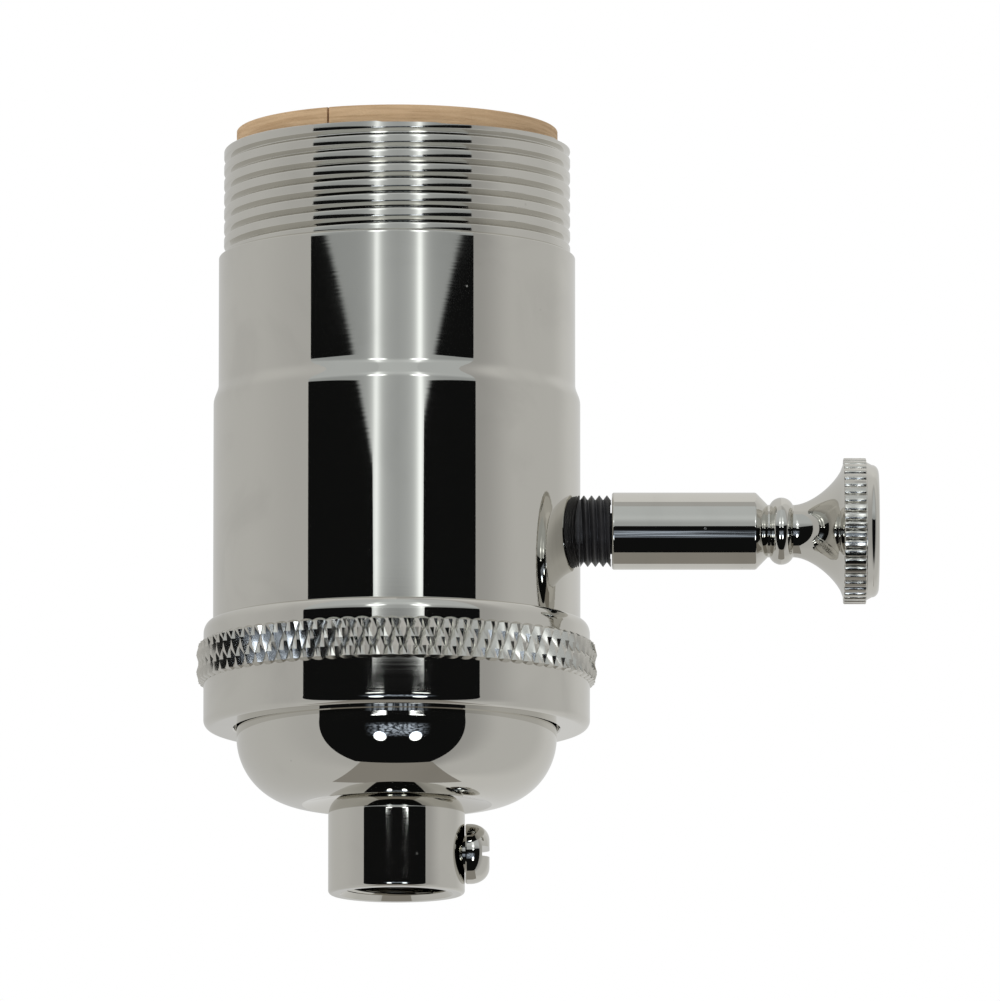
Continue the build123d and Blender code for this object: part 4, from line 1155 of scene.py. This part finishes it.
class SOCKET_OT_studio(bpy.types.Operator):
    """Set the camera, the light tent with its dark opening, and the pale floor"""

    bl_idname = "socket.studio"
    bl_label = "Studio"
    # Heights on the tent's front, in metres: start, full, start of fading, end
    BARE = (0.0795, 0.0820, 0.0872, 0.0890)
    HEARTS = (0.17, 0.24, 0.24, 0.30)
    MIST = (-0.27, -0.16, -0.07, -0.01)

    def execute(self, context):
        studio = context.scene.studio_settings
        context.scene.view_settings.view_transform = "Standard"
        self.camera(context, studio)
        self.world(context, studio)
        self.screen(studio)
        self.floor(studio)
        self.key_lamp()
        return {"FINISHED"}

    def aim(self, thing, direction):
        """Turns a camera or a lamp along a direction."""
        thing.rotation_mode = "QUATERNION"
        thing.rotation_quaternion = direction.to_track_quat("-Z", "Y")

    def camera(self, context, studio):
        """A long lens from a little below."""
        clear_selection()
        target = Vector((studio.view_centre, 0.0, studio.view_height))
        back = Vector((0.0, -cos(studio.elevation), sin(studio.elevation)))
        bpy.ops.object.camera_add(location=target + back * studio.distance)
        camera = context.scene.camera = bpy.context.object
        camera.name = "photo_camera"
        self.aim(camera, -back)
        camera.data.sensor_width = 36.0
        camera.data.lens = camera.data.sensor_width * studio.distance / studio.view_width
        camera.data.clip_start, camera.data.clip_end = 0.01, 100.0

    def world(self, context, studio):
        """White to the camera, a light grey tent to metal, and even light to the rest."""
        world = context.scene.world = bpy.data.worlds.new("light_tent")
        world.use_nodes = True
        tree = world.node_tree
        tree.nodes.clear()
        x, y, z = parts_of(coordinates(tree, "Generated"))
        # The tent's brightness by azimuth from the camera's side: a little less at the front left,
        # least at the front right and most at the right rear
        turn = x.maths("ARCTAN2", y * -1.0)
        left = turn.ranged(radians(-106), radians(-62), 1.0, 0.90)
        right = turn.ranged(radians(52), radians(83), 0.70, 1.0)
        rear = turn.ranged(radians(118), radians(142), 1.0, 1.15)
        sides = (right * rear - left) * turn.maths("GREATER_THAN", 0.0) + left
        tent = sides * z.ranged(0.2, 1.0, studio.tent_level, 1.15 * studio.tent_level)

        def background(colour, strength):
            node = tree.nodes.new("ShaderNodeBackground")
            put((*colour, 1.0), node.inputs["Color"])
            put(strength, node.inputs["Strength"])
            return node.outputs[0]

        ray = tree.nodes.new("ShaderNodeLightPath").outputs
        shown = background((0.8, 0.8, 0.8), studio.soft_level)
        for kind, other in (
            ("Is Glossy Ray", background((1.0, 1.0, 0.985), tent)),
            ("Is Camera Ray", background((1.0, 1.0, 1.0), 1.0)),
        ):
            mix = tree.nodes.new("ShaderNodeMixShader")
            for socket, output in zip(mix.inputs, (ray[kind], shown, other)):
                tree.links.new(output, socket)
            shown = mix.outputs[0]
        tree.links.new(shown, tree.nodes.new("ShaderNodeOutputWorld").inputs["Surface"])

    def reflected_sheet(self, name, material, size, middle, tilt=0.0):
        """A plane for metal to reflect, unseen by the camera and by matt surfaces."""
        clear_selection()
        bpy.ops.mesh.primitive_plane_add(size=1.0)
        sheet = named(name)
        sheet.data.materials.append(material)
        for ray in ("camera", "diffuse", "transmission", "shadow"):
            setattr(sheet, "visible_" + ray, False)
        edit_all()
        bpy.ops.transform.rotate(value=tilt, orient_axis="X", center_override=ORIGIN)
        bpy.ops.transform.resize(value=size, center_override=ORIGIN)
        bpy.ops.transform.translate(value=middle)
        leave_edit()

    def screen(self, studio):
        """The tent's dark opening under a lit cloth, and the brown table far below."""
        foot, head, front = -2.0, 1.6, -studio.screen_distance
        width = studio.slot_right - studio.slot_left
        middle = (studio.slot_left + studio.slot_right) / 2
        opening = (width, 1.0, head - foot)
        place = (middle, front, (foot + head) / 2)
        self.reflected_sheet("tent_opening", self.screen_material(studio), opening, place, pi / 2)
        table_width, table_depth = 1.38, 1.9
        brown = self.glow("table_brown", (0.30, 0.285, 0.26))[0]
        table = (table_width, table_depth, 1.0)
        self.reflected_sheet("brown_table", brown, table, (0.0, front + table_depth / 2, foot))

    def glow(self, name, colour):
        """A material that only shines, with its tree and its emission's inputs."""
        material = bpy.data.materials.new(name)
        material.use_nodes = True
        tree = material.node_tree
        tree.nodes.clear()
        emission = tree.nodes.new("ShaderNodeEmission")
        put((*colour, 1.0), emission.inputs["Color"])
        output = tree.nodes.new("ShaderNodeOutputMaterial")
        tree.links.new(emission.outputs[0], output.inputs["Surface"])
        return material, tree, emission.inputs

    def screen_material(self, studio):
        """Black below the cloth's edge, and above it the cloth with two lamps behind."""
        white, bluish, black_level = (0.93, 0.98, 1.0), (0.72, 0.83, 1.0), 0.007
        material, tree, emission = self.glow("tent_front", white)
        place = coordinates(tree, "Object")
        x, _, z = parts_of(place)
        from_lamps = abs(x - studio.lamp_centre)
        aside = abs(from_lamps - studio.lamp_offset)
        # The cloth's edge is higher beside the lamps, and rises towards the sides
        outside = from_lamps.ranged(studio.lamp_offset + 0.013, studio.lamp_offset + 0.022)
        rise = (abs(x - studio.flap_centre) * studio.flap_slope + studio.flap_step) * outside
        cover = (z - (rise + studio.flap_height)).ranged(-0.0015, 0.0025)
        cover *= z.ranged(0.092, 0.106, 0.55, 1.0)
        cloth = z.ranged(0.16, 0.36, studio.cloth_low, studio.cloth_high)
        cloth += outside.ranged(0.0, 1.0, 0.05, 0.0)
        # Each lamp's streak down the cloth, brighter on the right
        spread = aside / studio.lamp_width
        streak = x.ranged(-0.01, 0.03, 0.87, 1.03) * z.ranged(0.34, 0.56, 1.0, 0.0)
        lit = (cloth + streak / (spread * spread + 1.0)) * cover
        # The lamps seen bare under the cloth's edge, and through it at their hearts
        bare = aside.ranged(0.030, 0.058, 7.0, 0.0) * z.band(*self.BARE)
        heart = aside.ranged(0.026, 0.070, 2.2, 0.0) * z.band(*self.HEARTS)
        # Two lower lamps, twice as high as they are wide
        half_width, half_height = 0.05, 0.10
        across, up = aside / half_width, (z - studio.lamp_drop) / half_height
        spots = (across * across + up * up).ranged(0.45, 1.0, 6.0, 0.0)
        # A broken bluish mist in the dark between them
        cloud = texture("Noise", place, 38.0, Detail=3.0).ranged(0.42, 0.60, 0.04, 0.80)
        mist = cloud * from_lamps.ranged(0.07, 0.24, 1.0, 0.0) * z.band(*self.MIST)
        put(mixed(mist.ranged(0.0, 0.02), white, bluish), emission["Color"])
        put(lit + bare + heart + spots + mist + black_level, emission["Strength"])
        return material

    def floor(self, studio):
        """A wide pale floor a little under the camera."""
        clear_selection()
        width, clearance = 60.0, 0.045
        level = studio.view_height - studio.distance * sin(-studio.elevation) - clearance
        bpy.ops.mesh.primitive_plane_add(size=width, location=(0.0, 0.0, level))
        floor = named("pale_floor")
        material, shader, _ = blank("pale_paper")
        shader["Base Color"].default_value = (0.95, 0.95, 0.95, 1.0)
        shader["Roughness"].default_value = 0.9
        shader["Specular IOR Level"].default_value = 0.1
        floor.data.materials.append(material)
        floor.visible_glossy = False

    def key_lamp(self):
        """One soft lamp from the upper left, for the matt pieces."""
        clear_selection()
        place, target = Vector((-0.9, -1.1, 1.3)), Vector((0.0, 0.0, 0.04))
        bpy.ops.object.light_add(type="AREA", location=place)
        lamp = bpy.context.object
        lamp.name = "soft_key"
        lamp.data.shape = "DISK"
        lamp.data.size = 0.9
        lamp.data.energy = 9.0
        self.aim(lamp, target - place)
        lamp.visible_glossy = False


PIECES = (
    SOCKET_OT_inner_pieces,
    SOCKET_OT_shell,
    SOCKET_OT_liner,
    SOCKET_OT_ring,
    SOCKET_OT_cap,
    SOCKET_OT_hub,
    SOCKET_OT_set_screw,
    SOCKET_OT_screw_shell,
    SOCKET_OT_neck,
    SOCKET_OT_knob,
    SOCKET_OT_studio,
)
GROUPS = {
    "casing_sizes": CasingSizes,
    "dial_sizes": DialSizes,
    "finish_colours": FinishColours,
    "studio_settings": StudioSettings,
}


class VIEW3D_PT_socket(bpy.types.Panel):
    """Buttons for the pieces and fields for their sizes"""

    bl_label = "Dimmer lamp socket"
    bl_space_type = "VIEW_3D"
    bl_region_type = "UI"
    bl_category = "Socket"

    def draw(self, context):
        for piece in PIECES:
            self.layout.operator(piece.bl_idname)
        for group in GROUPS:
            values = getattr(context.scene, group)
            box = self.layout.box()
            for key in values.__annotations__:
                box.prop(values, key)


def register():
    for name, group in GROUPS.items():
        bpy.utils.register_class(group)
        setattr(bpy.types.Scene, name, PointerProperty(type=group))
    for shown in (*PIECES, VIEW3D_PT_socket):
        bpy.utils.register_class(shown)


def unregister():
    for shown in (VIEW3D_PT_socket, *reversed(PIECES)):
        bpy.utils.unregister_class(shown)
    for name, group in GROUPS.items():
        delattr(bpy.types.Scene, name)
        bpy.utils.unregister_class(group)


def main():
    register()
    bpy.ops.socket.inner_pieces()
    bpy.ops.socket.shell()
    bpy.ops.socket.liner()
    bpy.ops.socket.ring()
    bpy.ops.socket.cap()
    bpy.ops.socket.hub()
    bpy.ops.socket.set_screw()
    bpy.ops.socket.screw_shell()
    bpy.ops.socket.neck()
    bpy.ops.socket.knob()
    bpy.ops.socket.studio()
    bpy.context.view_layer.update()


if __name__ == "__main__":
    main()
